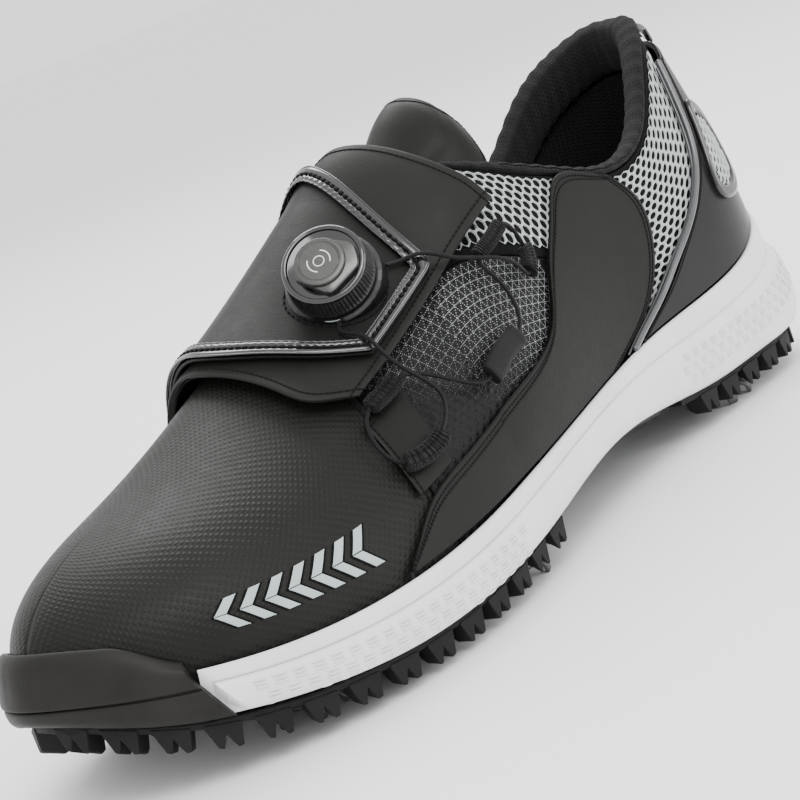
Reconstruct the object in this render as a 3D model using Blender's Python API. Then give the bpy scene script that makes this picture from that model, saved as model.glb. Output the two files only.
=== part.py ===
"""Golf shoe for the left foot: spiked two-colour sole, lasted upper, instep strap closed by a dial and lace.

Frame: metres, +Z up, ground at z = 0, toe towards -Y, lateral side towards +X.
"along" is always the distance from the heel towards the toe, and y = HEEL_Y - along.
"""

import math

import bmesh
import bpy
import numpy as np
from mathutils import Matrix, Vector

MM = 0.001

# ---------------------------------------------------------------- driving dimensions
HEEL_Y = 0.150            # y of the heel datum that "along" is measured from
FOOTPRINT_MIDDLE = (2.309 * MM, 2.497 * MM)   # x and y of the middle of the shoe's bounding box
GAP = 0.35 * MM           # clearance between pieces that touch on the real shoe
DISH = 8 * MM             # depth of the tray in the midsole that the upper sits in
DISH_TOE = 3.4 * MM       # its depth at the tip of the toe
RIM_INSIDE = 1.4 * MM     # inner wall of that tray, outside the feather line
RIM_OUTSIDE = 3.4 * MM    # outer edge of the midsole rim, outside the feather line

# Feather line, where upper meets sole: along, lateral half width, medial half width.
FEATHER = np.array([
    (6, 0, 0), (8.5, 14, 14), (16, 24.5, 24.5), (30, 31.5, 31.5), (50, 33.5, 32.5), (80, 33.5, 29),
    (110, 35.5, 27), (140, 40, 30.5), (170, 45.5, 38), (195, 49.5, 43.5), (215, 50, 45.5),
    (237, 46.5, 44.5), (260, 37.5, 39.5), (277.5, 24, 30), (288.5, 8.5, 18.5), (293, -6, 6),
]) * MM
# Edge of the ankle opening from the back of the heel to the throat: along, half width, height.
TOPLINE = np.array([
    (13.5, 0, 113.5), (15, 7, 113.5), (21, 13.5, 111), (30, 18.5, 105), (41, 23, 95),
    (52, 26.5, 86.5), (64, 28.5, 82), (78, 29, 82), (94, 28.5, 87.5), (110, 27, 94.5),
    (122, 24, 100), (133, 18, 104.5), (140, 10, 106.5), (142, 0, 106.5),
]) * MM
# Heights above ground against along: midsole rim, midsole underside, ridge of the instep and toe.
RIM_HEIGHT = np.array([(0, 50), (12, 47), (30, 41), (60, 36.5), (90, 35), (125, 31.5), (160, 28),
                       (200, 25.2), (235, 24.5), (265, 27), (292, 32.5)]) * MM
BOTTOM_HEIGHT = np.array([(0, 17), (12, 13), (35, 12), (70, 12.5), (100, 16), (130, 17.3), (165, 13),
                          (200, 10.3), (235, 10.5), (262, 14), (285, 21), (296, 28)]) * MM
RIDGE_HEIGHT = np.array([(100, 119), (125, 112.5), (150, 102), (165, 94), (185, 83.8), (205, 74.8),
                         (225, 66.3), (245, 60.2), (260, 57.5)]) * MM
RIDGE_SIDE = np.array([(100, -4), (150, -9), (200, -12.5), (250, -12.5)]) * MM
THROAT = 142 * MM         # along of the front end of the ankle opening
TOE_CREST = 255 * MM      # along where the ridge rolls over into the toe cap
THROAT_SHARE = 0.56       # share of the feather line that faces the throat

# Layers of the upper, as the height of each outer face over the lasted surface, and thicknesses.
BASE_LIFT, BASE_THICK = 0.0, 1.4 * MM
OVERLAY_LIFT, OVERLAY_THICK = 2.2 * MM, 1.4 * MM
HEEL_LIFT = 2.6 * MM
STRAP_LIFT, STRAP_THICK = 4.9 * MM, 1.9 * MM
PATCH_LIFT, PATCH_THICK = 6.8 * MM, 1.1 * MM
TRIM_LIFT, TRIM_THICK = 8.2 * MM, 1.0 * MM
STIFFENER_LIFT, STIFFENER_THICK = -2.1 * MM, 0.9 * MM
LINING_LIFT, LINING_THICK = -3.7 * MM, 1.0 * MM
TONGUE_LIFT, TONGUE_THICK = -5.6 * MM, 2.6 * MM

VAMP_START = 0.662        # share where the vamp begins
HEEL_MESH_END = 0.319     # share where the heel mesh ends and the side mesh begins
BUMPER_START = 0.887      # share where the toe bumper begins
RIM = 2.0                 # stands for the edge of the midsole in an outline's down

# Dial, in its own frame: radius and height over the patch, axis pointing out of the strap.
DIAL_PLACE = (0.265, 174.5 * MM)     # down and along of its centre on the instep
DIAL_AXIS = Vector((0.46, -0.62, 0.64)).normalized()
DIAL_FLANGE = 12.9 * MM
KNOB_SKIRT, KNOB_RIM = 11.7 * MM, 10.7 * MM
LACE_EXITS = (238, 136)   # bearings of the two lace holes round the dial base, degrees
LACE = 0.55 * MM          # radius of the lace wire

PLATE = 1.8 * MM          # thickness of the outsole plates
LUG_TIP = 2.2 * MM        # height of the rubber lugs' tips above the ground
BOSS = 4.7 * MM           # height of the faces that the spikes screw up against
RECEPTACLE = 6.6 * MM     # radius of a spike receptacle
# Spike centres, as along and x in mm.
SPIKES = [(241, 21), (244, -25), (207, 33), (205, -29), (172, 33), (49, 20), (49, -20)]

# Ends of the strap's hinge line, just outside its stitched edge, and the middle of the tongue's.
STRAP_HINGE = ((-0.0392, 0.004, 0.0392), (-0.0500, -0.050, 0.0300))
TONGUE_HINGE = (-0.006, -0.012, 0.086)

# Outlines of the strap, its patch and the patent trim, as (down, along in mm).
STRAP_ROOT = -0.80        # down of the strap's stitched edge on the medial side
STRAP_REAR = [(-0.8, 147), (-0.45, 141), (-0.05, 135), (0.1, 133), (0.26, 131.5), (0.39, 130), (0.468, 129.5)]
STRAP_FRONT = [(-0.8, 198), (-0.45, 203), (-0.1, 206), (0.1, 207.5), (0.28, 208.5), (0.37, 207), (0.43, 201)]
TRIM_REAR = [(-0.62, 153), (-0.3, 146), (-0.05, 142.5), (0.11, 147), (0.21, 151), (0.3, 154), (0.435, 156.5)]
TRIM_FRONT = [(-0.62, 196), (-0.3, 200.5), (-0.05, 203), (0.12, 203.5), (0.22, 201), (0.34, 195),
              (0.428, 187)]
TRIM_WIDE = 4.4           # width of the trim band, mm
TRIM_DOWN = 0.032         # the same at its lateral end, in down

# ---------------------------------------------------------------- materials
# name: colour, roughness, metallic
FINISHES = {
    "leather": ((0.018, 0.018, 0.019), 0.42, 0.0),
    "patent": ((0.035, 0.035, 0.037), 0.12, 0.0),
    "mesh_light": ((0.50, 0.51, 0.52), 0.60, 0.0),
    "mesh_dark": ((0.035, 0.036, 0.038), 0.65, 0.0),
    "knit": ((0.012, 0.012, 0.013), 0.85, 0.0),
    "foam": ((0.82, 0.83, 0.84), 0.55, 0.0),
    "board": ((0.30, 0.26, 0.20), 0.80, 0.0),
    "rubber": ((0.022, 0.022, 0.023), 0.60, 0.0),
    "spike_plastic": ((0.09, 0.09, 0.095), 0.30, 0.0),
    "black_plastic": ((0.012, 0.012, 0.013), 0.25, 0.0),
    "grey_metal": ((0.28, 0.28, 0.29), 0.32, 0.6),
    "steel": ((0.55, 0.55, 0.56), 0.30, 1.0),
    "webbing": ((0.022, 0.022, 0.023), 0.75, 0.0),
    "wire": ((0.010, 0.010, 0.011), 0.35, 0.0),
}


# ---------------------------------------------------------------- curves and the lasted surface
def spline(table, start=None, end=None):
    """Cubic spline through the table's rows: natural ends or the given end slopes, straight beyond them."""
    knots, values = np.asarray(table, float).T
    count, step = len(knots), np.diff(knots)
    rise = np.diff(values) / step
    system, right = np.zeros((count, count)), np.zeros(count)
    for i in range(1, count - 1):
        system[i, i - 1:i + 2] = step[i - 1], 2 * (step[i - 1] + step[i]), step[i]
        right[i] = 3 * (rise[i] - rise[i - 1])
    system[0, 0] = system[-1, -1] = 1
    if start is not None:
        system[0, :2] = 2 * step[0], step[0]
        right[0] = 3 * (rise[0] - start)
    if end is not None:
        system[-1, -2:] = step[-1], 2 * step[-1]
        right[-1] = 3 * (end - rise[-1])
    second = np.linalg.solve(system, right)
    third = np.diff(second) / (3 * step)
    first = rise - step * (2 * second[:-1] + second[1:]) / 3
    last_slope = first[-1] + 2 * second[-2] * step[-1] + 3 * third[-1] * step[-1] ** 2

    def curve(at):
        at = np.asarray(at, float)
        inside = np.clip(at, knots[0], knots[-1])
        i = np.clip(np.searchsorted(knots, inside, side="right") - 1, 0, count - 2)
        s = inside - knots[i]
        value = values[i] + first[i] * s + second[i] * s ** 2 + third[i] * s ** 3
        return value + np.minimum(at - knots[0], 0) * first[0] + np.maximum(at - knots[-1], 0) * last_slope

    return curve


def smooth(value):
    value = np.clip(value, 0, 1)
    return value * value * (3 - 2 * value)


def chord_share(*columns):
    """Distance run along a polyline, as a share of its whole length."""
    run = np.concatenate([[0], np.cumsum(np.sqrt(sum(np.diff(c) ** 2 for c in columns)))])
    return run / run[-1]


def feather_curves():
    along, lateral, medial = FEATHER.T
    share = (chord_share(along, lateral) + chord_share(along, medial)) / 2
    columns = np.column_stack
    return (spline(columns([share, along]), 0, 0), spline(columns([share, lateral])),
            spline(columns([share, -medial])))


def topline_curves():
    along, side, height = TOPLINE.T
    share = chord_share(along, side, height)
    columns = np.column_stack
    return (spline(columns([share, along]), 0, 0), spline(columns([share, side])),
            spline(columns([share, height])))


feather_along, feather_lateral, feather_medial = feather_curves()
top_along, top_side, top_height = topline_curves()
rim_height, bottom_height = spline(RIM_HEIGHT), spline(BOTTOM_HEIGHT)
ridge_height, ridge_side = spline(RIDGE_HEIGHT), spline(RIDGE_SIDE)


def tray_depth(along):
    return DISH - (DISH - DISH_TOE) * smooth((along - 252 * MM) / (40 * MM))


def tray_floor(along):
    return rim_height(along) - tray_depth(along)


def feather(side, share):
    return np.where(side > 0, feather_lateral(share), feather_medial(share)), feather_along(share)


def outward(side, share, step=1e-3):
    """Unit normal of the feather line in plan, as (x, along)."""
    x0, a0 = feather(side, np.clip(share - step, 0, 1))
    x1, a1 = feather(side, np.clip(share + step, 0, 1))
    length = np.hypot(x1 - x0, a1 - a0)
    nx, na = (a1 - a0) / length * side, (x0 - x1) / length * side
    heel, toe = share < 1e-6, share > 1 - 1e-6
    return np.where(heel | toe, 0, nx), np.where(heel, -1, np.where(toe, 1, na))


def top_edge(side, share):
    """Edge of the ankle opening behind the throat, ridge of the instep in front of it."""
    s = np.clip(share / THROAT_SHARE, 0, 1)
    f = np.clip((share - THROAT_SHARE) / (1 - THROAT_SHARE), 0, 1)
    rear_along = top_along(s)
    medial_rise = 7 * MM * np.exp(-((rear_along - 43 * MM) / (16 * MM)) ** 2)
    rear_height = top_height(s) + np.where(side > 0, 0, medial_rise)
    crest_along = THROAT + (TOE_CREST - THROAT) * (1 - (1 - f) ** 1.9)
    rear = share < THROAT_SHARE
    x = np.where(rear, top_side(s) * side + ridge_side(rear_along) * s ** 3, ridge_side(crest_along))
    along = np.where(rear, rear_along, crest_along)
    return x, along, np.where(rear, rear_height, ridge_height(crest_along))


def last(down, share):
    """Point of the lasted surface. share runs from 0 at the heel to 1 at the toe, positive on the lateral
    side and negative on the medial side. down runs from 0 at the opening or the ridge to 1 at the feather
    line, and is negative beyond the ridge, on the other side."""
    down, share = np.broadcast_arrays(np.asarray(down, float), np.asarray(share, float))
    side = np.where(share >= 0, 1.0, -1.0) * np.where(down < 0, -1, 1)
    share = np.abs(share)
    side = side * np.where(share > 1, -1, 1)
    share = np.where(share > 1, 2 - share, share)
    rise = np.clip(1 - np.abs(down), 0, 1)
    foot_x, foot_along = feather(side, share)
    foot_z = rim_height(foot_along) - tray_depth(foot_along)
    crest_x, crest_along, crest_z = top_edge(side, share)
    fore = smooth((foot_along - 85 * MM) / (80 * MM))
    toe = smooth((foot_along - 200 * MM) / (70 * MM))
    turn = rise * math.pi / 2
    inward = rise ** 1.7 * (1 - fore) + (1 - np.cos(turn) ** (2 / (1.75 + 0.85 * toe))) * fore
    climb = rise * (1 - fore) + np.sin(turn) ** (2 / (1.65 + 0.7 * toe)) * fore
    nx, na = outward(side, share)
    swell = (0.5 + 1.5 * fore) * MM * np.sin(math.pi * rise)
    x = foot_x + (crest_x - foot_x) * inward + nx * swell
    along = foot_along + (crest_along - foot_along) * inward + na * swell
    crest_z = crest_z + (ridge_height(along) - ridge_height(crest_along)) * fore
    return np.stack([x, HEEL_Y - along, foot_z + (crest_z - foot_z) * climb], -1)


def face(down, share, step=2e-3):
    """Outward unit normal of the lasted surface."""
    def normal_at(down, share):
        across = last(down + step, share) - last(down - step, share)
        ahead = last(down, share + step) - last(down, share - step)
        normal = np.cross(ahead, across)
        return normal / np.linalg.norm(normal, axis=-1, keepdims=True)

    down, share = np.broadcast_arrays(np.asarray(down, float), np.asarray(share, float))
    near = np.sign(share) * np.minimum(np.abs(share), 0.985)
    normal = normal_at(down, near)
    both = normal + normal_at(-down, near)
    at_tip = (np.abs(share) > 0.985)[..., None]
    return np.where(at_tip, both / np.linalg.norm(both, axis=-1, keepdims=True), normal)


def skin(down, share, lift):
    return last(down, share) + face(down, share) * np.asarray(lift)[..., None]


def share_at(down, along):
    """Share at which a line of constant down reaches this distance from the heel, in front of the ankle."""
    shares = np.linspace(0.45, 1.0, 221)
    down, along = np.broadcast_arrays(np.asarray(down, float), np.asarray(along, float))
    runs = HEEL_Y - last(down.reshape(-1, 1), shares)[..., 1]
    found = [np.interp(a, run, shares) for a, run in zip(along.ravel(), runs)]
    return np.reshape(found, down.shape)


def instep(down, along, lift):
    """Surface of the instep by distance from the heel. Behind the throat its section is carried on
    along the ridge, over the ankle opening."""
    down, along = np.broadcast_arrays(np.asarray(down, float), np.asarray(along, float))
    ahead = np.maximum(along, THROAT + (5 + 30 * np.abs(down)) * MM)
    point = skin(down, share_at(down, ahead), lift)
    shift = [ridge_side(along) - ridge_side(ahead), ahead - along, ridge_height(along) - ridge_height(ahead)]
    return point + np.stack(shift, -1)


def depth_down(share, depth):
    """down at a distance below the edge of the opening, measured over the surface."""
    downs = np.linspace(0, 1, 81)
    points = last(downs[:, None], np.reshape(share, (1, -1)))
    steps = np.linalg.norm(np.diff(points, axis=0), axis=-1)
    run = np.vstack([np.zeros(steps.shape[1]), np.cumsum(steps, 0)])
    found = [np.interp(depth, run[:, k], downs) for k in range(run.shape[1])]
    return np.reshape(found, np.shape(share))


def rim_down(share):
    """down at which the lasted surface passes the midsole rim."""
    downs = np.linspace(0.6, 1, 41)
    share = np.asarray(share, float)
    points = last(downs[:, None], share.reshape(1, -1))
    spare = points[..., 2] - rim_height(HEEL_Y - points[..., 1]) - 0.7 * MM
    found = [np.interp(0, -spare[:, k], downs) for k in range(spare.shape[1])]
    return np.reshape(found, share.shape)


# ---------------------------------------------------------------- building blocks
def clear_scene():
    for thing in list(bpy.data.objects):
        bpy.data.objects.remove(thing, do_unlink=True)


def material(name):
    made = bpy.data.materials.get(name)
    if made is None:
        colour, roughness, metallic = FINISHES[name]
        made = bpy.data.materials.new(name)
        made.use_nodes = True
        shader = made.node_tree.nodes["Principled BSDF"]
        shader.inputs["Base Color"].default_value = (*colour, 1)
        shader.inputs["Roughness"].default_value = roughness
        shader.inputs["Metallic"].default_value = metallic
        made.diffuse_color = (*colour, 1)
    return made


def add_object(name, data, finish):
    thing = bpy.data.objects.new(name, data)
    data.materials.append(material(finish))
    bpy.context.scene.collection.objects.link(thing)
    return thing


def add_solid(name, points, faces, finish, weld=0.0, closed=True):
    """Object from points and faces; weld joins points closer than that, closed turns every face outward."""
    mesh = bpy.data.meshes.new(name)
    work = bmesh.new()
    verts = [work.verts.new(Vector(p)) for p in np.reshape(points, (-1, 3))]
    for ring in faces:
        work.faces.new([verts[i] for i in ring])
    if weld:
        bmesh.ops.remove_doubles(work, verts=work.verts, dist=weld)
    if closed:
        bmesh.ops.recalc_face_normals(work, faces=work.faces)
    work.to_mesh(mesh)
    work.free()
    mesh.shade_smooth()
    mesh.set_sharp_from_angle(angle=math.radians(35))
    return add_object(name, mesh, finish)


def grid_faces(rows, columns, wrap=False):
    """Quads of a grid of points, row by row; wrap joins the last column to the first."""
    last_column = columns if wrap else columns - 1
    return [(r * columns + c, r * columns + (c + 1) % columns,
             (r + 1) * columns + (c + 1) % columns, (r + 1) * columns + c)
            for r in range(rows - 1) for c in range(last_column)]


def add_sheet(name, points, thickness, finish, weld=0.0):
    """Sheet through a grid of points that face outward, thickened inward."""
    rows, columns = points.shape[:2]
    sheet = add_solid(name, points, grid_faces(rows, columns), finish, weld, closed=False)
    solidify = sheet.modifiers.new("Thickness", "SOLIDIFY")
    solidify.thickness = thickness
    solidify.offset = -1
    return sheet


def add_tube(name, rings, finish, capped=True):
    """Skin over rings of equal length, each an array of points, with closed ends."""
    count, around = len(rings), len(rings[0])
    faces = grid_faces(count, around, wrap=True)
    if capped:
        faces += [tuple(range(around)), tuple(range((count - 1) * around, count * around))]
    return add_solid(name, np.array(rings), faces, finish)


def ring_faces(rings, segments):
    """Faces between rings of point numbers, where a ring of one point is a tip."""
    faces = []
    for ring, after in zip(rings, rings[1:]):
        for k in range(segments):
            corners = [ring[k % len(ring)], ring[(k + 1) % len(ring)],
                       after[(k + 1) % len(after)], after[k % len(after)]]
            corners = list(dict.fromkeys(corners))
            if len(corners) > 2:
                faces.append(corners)
    return faces


def add_turned(name, profile, finish, frame, segments=24):
    """Solid of revolution about the frame's z axis from a closed profile of (radius, height)."""
    points, rings = [], []
    for radius, height in profile:
        steps = segments if radius > 0 else 1
        rings.append(range(len(points), len(points) + steps))
        for k in range(steps):
            angle = 2 * math.pi * k / segments
            points.append((radius * math.cos(angle), radius * math.sin(angle), height))
    closed = rings if profile[0][0] == 0 and profile[-1][0] == 0 else rings + rings[:1]
    thing = add_solid(name, points, ring_faces(closed, segments), finish)
    thing.matrix_world = frame
    return thing


def boolean(thing, cutter, operation):
    """Boolean modifier with the exact solver; the cutter stays out of the model."""
    change = thing.modifiers.new(operation.title(), "BOOLEAN")
    change.operation = operation
    change.solver = "EXACT"
    change.object = cutter
    cutter.hide_render = True
    cutter.display_type = "WIRE"


def panel(name, finish, rails, lift, thickness, rows, mirror=False):
    """Panel of the upper between rails, each a list of (share, down) from heel to toe; a down of RIM is
    the edge of the midsole. mirror puts it on the medial side."""
    rails = np.array(rails, float)
    at_rim = rails[..., 1] == RIM
    sign = -1 if mirror else 1
    rails[..., 1] = np.where(at_rim, rim_down(rails[..., 0] * sign), rails[..., 1])
    where = np.linspace(0, 1, rows + 1)
    stops = np.linspace(0, 1, len(rails))
    if len(rails) == 2:
        grid = rails[0] + (rails[1] - rails[0]) * where[:, None, None]
    else:
        flat = rails.reshape(len(rails), -1)
        grid = np.column_stack([spline(np.column_stack([stops, f]))(where) for f in flat.T])
        grid = grid.reshape(rows + 1, rails.shape[1], 2)
    if mirror:
        grid = grid[:, ::-1] * [-1, 1]
    return add_sheet(name, skin(grid[..., 1], grid[..., 0], lift), thickness, finish)



# ---------------------------------------------------------------- sole
def ring_point(side, share, margin):
    """Plan point outside the feather line, as (x, along)."""
    x, along = feather(side, share)
    nx, na = outward(side, share)
    return x + nx * margin, along + na * margin


def slant(share, part):
    """Shift of a station near the bumper's end, so that its joint with the midsole leans back."""
    return 0.022 * part * max(0.0, 1 - abs(share - BUMPER_START) / 0.07)


def heel_flare(share):
    """How much further the sole spreads round the back of the heel."""
    return 4.8 * MM * (1 - smooth(feather_along(share) / (48 * MM)))


def make_midsole():
    """Foam sole: a tray for the upper, a rim band, a groove and a bulging side wall."""
    rows = [  # margin, part of the wall's height below the rim, fixed drop, part of the heel flare
        (RIM_INSIDE, 0, None, 0), (RIM_INSIDE, 0, 0.4 * MM, 0), (RIM_OUTSIDE - 0.4 * MM, 0, 0, 0),
        (RIM_OUTSIDE, 0, 0.6 * MM, 0), (3.7 * MM, 0.27, 0, 0.15), (3.1 * MM, 0.305, 0, 0.2),
        (3.9 * MM, 0.34, 0, 0.35), (5.0 * MM, 0.60, 0, 0.8), (5.0 * MM, 0.82, 0, 1.0), (2.4 * MM, 1, 0, 0.7)]
    shares = np.concatenate([[0, 0.02, 0.04, 0.06, 0.085, 0.115, 0.15], np.linspace(0.19, 0.85, 18),
                             [BUMPER_START - 0.001, BUMPER_START + 0.001], [0.915, 0.945, 0.972, 1]])
    sides = [(1, s) for s in shares] + [(-1, s) for s in shares[-2:0:-1]]
    points = []
    for margin, part, drop, flare in rows:
        for side, share in sides:
            toe = share > BUMPER_START
            place = share - slant(share, part)
            spread = min(margin, 1.9 * MM) if toe else margin + heel_flare(share) * flare
            x, along = ring_point(side, place, spread)
            foot = feather_along(place) if toe else along
            floor = rim_height(foot) - tray_depth(foot) - GAP
            rim = floor + 1.5 * MM if toe else rim_height(foot)
            height = floor if drop is None else rim - drop - (rim - bottom_height(foot)) * part
            points.append((x, HEEL_Y - along, height))
    around = len(sides)
    faces = grid_faces(len(rows), around, wrap=True)
    for start in (0, (len(rows) - 1) * around):
        for k in range(len(shares) - 1):
            mirrored = start + (around - k) % around
            corners = [start + k, start + k + 1, start + (around - k - 1) % around, mirrored]
            faces.append(list(dict.fromkeys(corners)))
    return add_solid("midsole", points, faces, "foam")


def foot_or(share, along):
    """along that sets a sole height: the point's own, but the feather line's round the tip of the toe."""
    return feather_along(share) if share > BUMPER_START else along


def make_slab(name, shares, top, bottom, margin, finish, bottom_margin=None):
    """Plate across the foot between two heights, which are functions of along."""
    lower = margin if bottom_margin is None else bottom_margin
    rings = []
    for share in shares:
        ring = []
        for side, spread, height in ((1, margin, top), (-1, margin, top), (-1, lower, bottom),
                                     (1, lower, bottom)):
            x, along = ring_point(side, share, spread(share) if callable(spread) else spread)
            ring.append((x, HEEL_Y - along, height(foot_or(share, along))))
        rings.append(ring)
    count = len(rings)
    faces = grid_faces(count, 4, wrap=True) + [(0, 1, 2, 3), tuple(range(4 * count - 4, 4 * count))]
    return add_solid(name, rings, faces, finish, weld=0.01 * MM)


def plate_top(along):
    return bottom_height(along) - GAP - 0.6 * MM * smooth((along - 235 * MM) / (25 * MM))


def plate_bottom(along):
    return plate_top(along) - PLATE


def spike_near(x, along, reach):
    return any(math.hypot(x - sx * MM, along - sa * MM) < reach for sa, sx in SPIKES)


def lug_blocks(shares, inset):
    """Tapered rubber teeth along both edges of the sole, clear of the spikes."""
    points, faces = [], []
    for k, share in enumerate(shares):
        for side in (1, -1):
            cx, ca = ring_point(side, share, -inset)
            if spike_near(cx, ca, 13.5 * MM):
                continue
            nx, na = outward(side, share)
            drop = (5.6 - 2.6 * smooth((ca - 225 * MM) / (40 * MM))) * MM
            tip = max(LUG_TIP, plate_bottom(ca) - drop)
            lean = 1.6 * MM * (1 if k % 2 else -1)
            start = len(points)
            for height, half, out, shift in ((None, 3.9 * MM, 3.6 * MM, 0), (tip, 1.5 * MM, 2.4 * MM, lean)):
                for u, v in ((-1, -1), (1, -1), (1, 1), (-1, 1)):
                    run, off = u * half + shift, v * out
                    along = ca + na * off + nx * run
                    level = plate_bottom(along) + 0.7 * MM if height is None else height
                    points.append((cx + nx * off - na * run, HEEL_Y - along, level))
            quads = [(0, 1, 2, 3), (4, 5, 6, 7), (0, 1, 5, 4), (1, 2, 6, 5), (2, 3, 7, 6), (3, 0, 4, 7)]
            faces += [tuple(start + i for i in quad) for quad in quads]
    return points, faces


def add_rods(name, spots, radius, low, high, finish, segments=16):
    """Upright rods in one object, as a tool for a Boolean."""
    points, faces = [], []
    for along, x in spots:
        start = len(points)
        for height in (low, high(along * MM)):
            for k in range(segments):
                angle = 2 * math.pi * k / segments
                points.append((x * MM + radius * math.cos(angle),
                               HEEL_Y - along * MM + radius * math.sin(angle), height))
        faces += [tuple(start + i for i in quad) for quad in grid_faces(2, segments, wrap=True)]
        faces += [tuple(range(start, start + segments)), tuple(range(start + segments, start + 2 * segments))]
    return add_solid(name, points, faces, finish)


def make_outsole(name, shares, lug_shares, spots):
    """Rubber plate with bosses for the receptacles and teeth along its edges."""
    plate = make_slab(name, shares, plate_top, plate_bottom, lambda s: 1.2 * MM + 0.6 * heel_flare(s),
                      "rubber")
    bosses = add_rods(name + "_boss_tool", spots, RECEPTACLE + 2.2 * MM, BOSS,
                      lambda along: plate_bottom(along) + 0.8 * MM, "rubber")
    points, faces = lug_blocks(lug_shares, 3.6 * MM)
    lugs = add_solid(name + "_lug_tool", points, faces, "rubber")
    holes = add_rods(name + "_hole_tool", spots, RECEPTACLE + GAP, BOSS - 5 * MM,
                     lambda along: plate_top(along) + 5 * MM, "rubber")
    boolean(plate, bosses, "UNION")
    boolean(plate, lugs, "UNION")
    boolean(plate, holes, "DIFFERENCE")


def make_spikes():
    """Threaded receptacles in the outsole and the screw-in spikes under them."""
    for number, (along, x) in enumerate(SPIKES, 1):
        frame = Matrix.Translation(Vector((x * MM, HEEL_Y - along * MM, 0)))
        top = min(plate_top(along * MM) - 0.2 * MM, BOSS + 5.2 * MM)
        add_turned(f"spike_receptacle_{number}", [
            (0, top), (RECEPTACLE, top), (RECEPTACLE, BOSS), (3.1 * MM, BOSS),
            (3.1 * MM, BOSS + 3.0 * MM), (0, BOSS + 3.0 * MM)], "black_plastic", frame, 16)
        make_spike(f"spike_{number}", frame)


def make_spike(name, frame):
    """Disc with a stud above and six legs that end flat on the ground."""
    legs, under = 6, BOSS - GAP
    outline = [  # radius, height, how far the gaps between the legs cut in, how far they lift
        (0, BOSS + 2.4 * MM, 0, 0), (2.6 * MM, BOSS + 2.4 * MM, 0, 0), (2.6 * MM, under, 0, 0),
        (8.2 * MM, under, 0, 0), (9.2 * MM, 2.8 * MM, 0.3, 0), (9.0 * MM, 0, 0.3, 2.6 * MM),
        (5.6 * MM, 0, 0, 2.6 * MM), (3.0 * MM, 2.6 * MM, 0, 0), (0, 2.6 * MM, 0, 0)]
    points, rings = [], []
    for radius, height, cut, rise in outline:
        count = 3 * legs if radius else 1
        rings.append(range(len(points), len(points) + count))
        for k in range(count):
            angle = 2 * math.pi * (k + (0.0, 0.25, -0.25)[k % 3]) / (3 * legs)
            between = k % 3 == 0
            reach = radius * (1 - cut * between)
            points.append((reach * math.cos(angle), reach * math.sin(angle), height + rise * between))
    spike = add_solid(name, points, ring_faces(rings, 3 * legs), "spike_plastic")
    spike.matrix_world = frame


def make_bumper():
    """Rubber toe cap that climbs from under the sole over the foot of the upper."""
    shares = np.array([BUMPER_START + 0.007, 0.907, 0.925, 0.945, 0.965, 0.983, 1])
    stations = [(1, s) for s in shares] + [(-1, s) for s in shares[-2::-1]]
    rings = []
    for side, share in stations:
        climb = 0.55 * smooth((share - BUMPER_START) / 0.05) + 0.45 * smooth((share - BUMPER_START) / 0.113)
        start = float(rim_down(share * side))
        top = start - 0.02 - (start - 0.70) * climb

        def on_upper(part, lift):
            return skin(top + (start - top) * part, share * side, lift * MM)

        def on_wall(part, margin):
            place = share - slant(share, part)
            x, along = ring_point(side, place, margin * MM)
            foot = feather_along(place)
            rim = rim_height(foot)
            return np.array([x, HEEL_Y - along, rim - (rim - bottom_height(foot)) * part])

        outer = [on_upper(0, 2.0), on_upper(0.4, 3.5), on_upper(0.9, 4.6), on_wall(0.16, 5.6),
                 on_wall(0.30, 5.0), on_wall(0.38, 5.5), on_wall(0.75, 5.0), on_wall(1, 3.2)]
        inner = [on_wall(1, 2.3), on_wall(0.1, 2.3), on_upper(0.9, 0.8), on_upper(0.4, 0.6), on_upper(0, 0.6)]
        rings.append(outer + inner)
    return add_tube("toe_bumper", np.array(rings), "rubber")


def make_sole():
    make_midsole()
    heel_shares = np.array([0, 0.02, 0.04, 0.065, 0.095, 0.13, 0.17, 0.215, 0.26, 0.30])
    fore_shares = np.concatenate([np.linspace(0.515, 0.93, 14), [0.953, 0.977, 1]])
    heel_spots = [spot for spot in SPIKES if spot[0] < 100]
    fore_spots = [spot for spot in SPIKES if spot[0] > 100]
    make_outsole("outsole_heel", heel_shares, np.linspace(0.036, 0.275, 7), heel_spots)
    make_outsole("outsole_forefoot", fore_shares,
                 np.concatenate([np.linspace(0.535, 0.88, 12), [0.925, 0.972]]), fore_spots)
    make_slab("midfoot_shank", np.linspace(0.315, 0.50, 7), plate_top,
              lambda along: plate_top(along) - 2.4 * MM, -1.5 * MM, "black_plastic", -4 * MM)
    make_bumper()
    make_spikes()
    inner_shares = np.concatenate([[0, 0.03, 0.07], np.linspace(0.12, 0.94, 13), [0.97, 1]])
    make_slab("lasting_board", inner_shares, lambda a: tray_floor(a) + 1.5 * MM + GAP,
              lambda a: tray_floor(a) + GAP, -2.6 * MM, "board")
    make_slab("footbed", inner_shares, lambda a: tray_floor(a) + 5.6 * MM,
              lambda a: tray_floor(a) + 2.2 * MM, -6.2 * MM, "knit")


# ---------------------------------------------------------------- upper
HEEL_TRIM = spline([(0.10, 0.078), (0.26, 0.108), (0.38, 0.134), (0.48, 0.177), (0.57, 0.221),
                    (0.72, 0.272), (0.90, 0.352)])
HEEL_SHARES = np.array([0, 0.022, 0.045, 0.07, 0.1, 0.135, 0.175, 0.22, 0.27, HEEL_MESH_END])


def both_sides(shares):
    return np.concatenate([-shares[:0:-1], shares])


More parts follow.
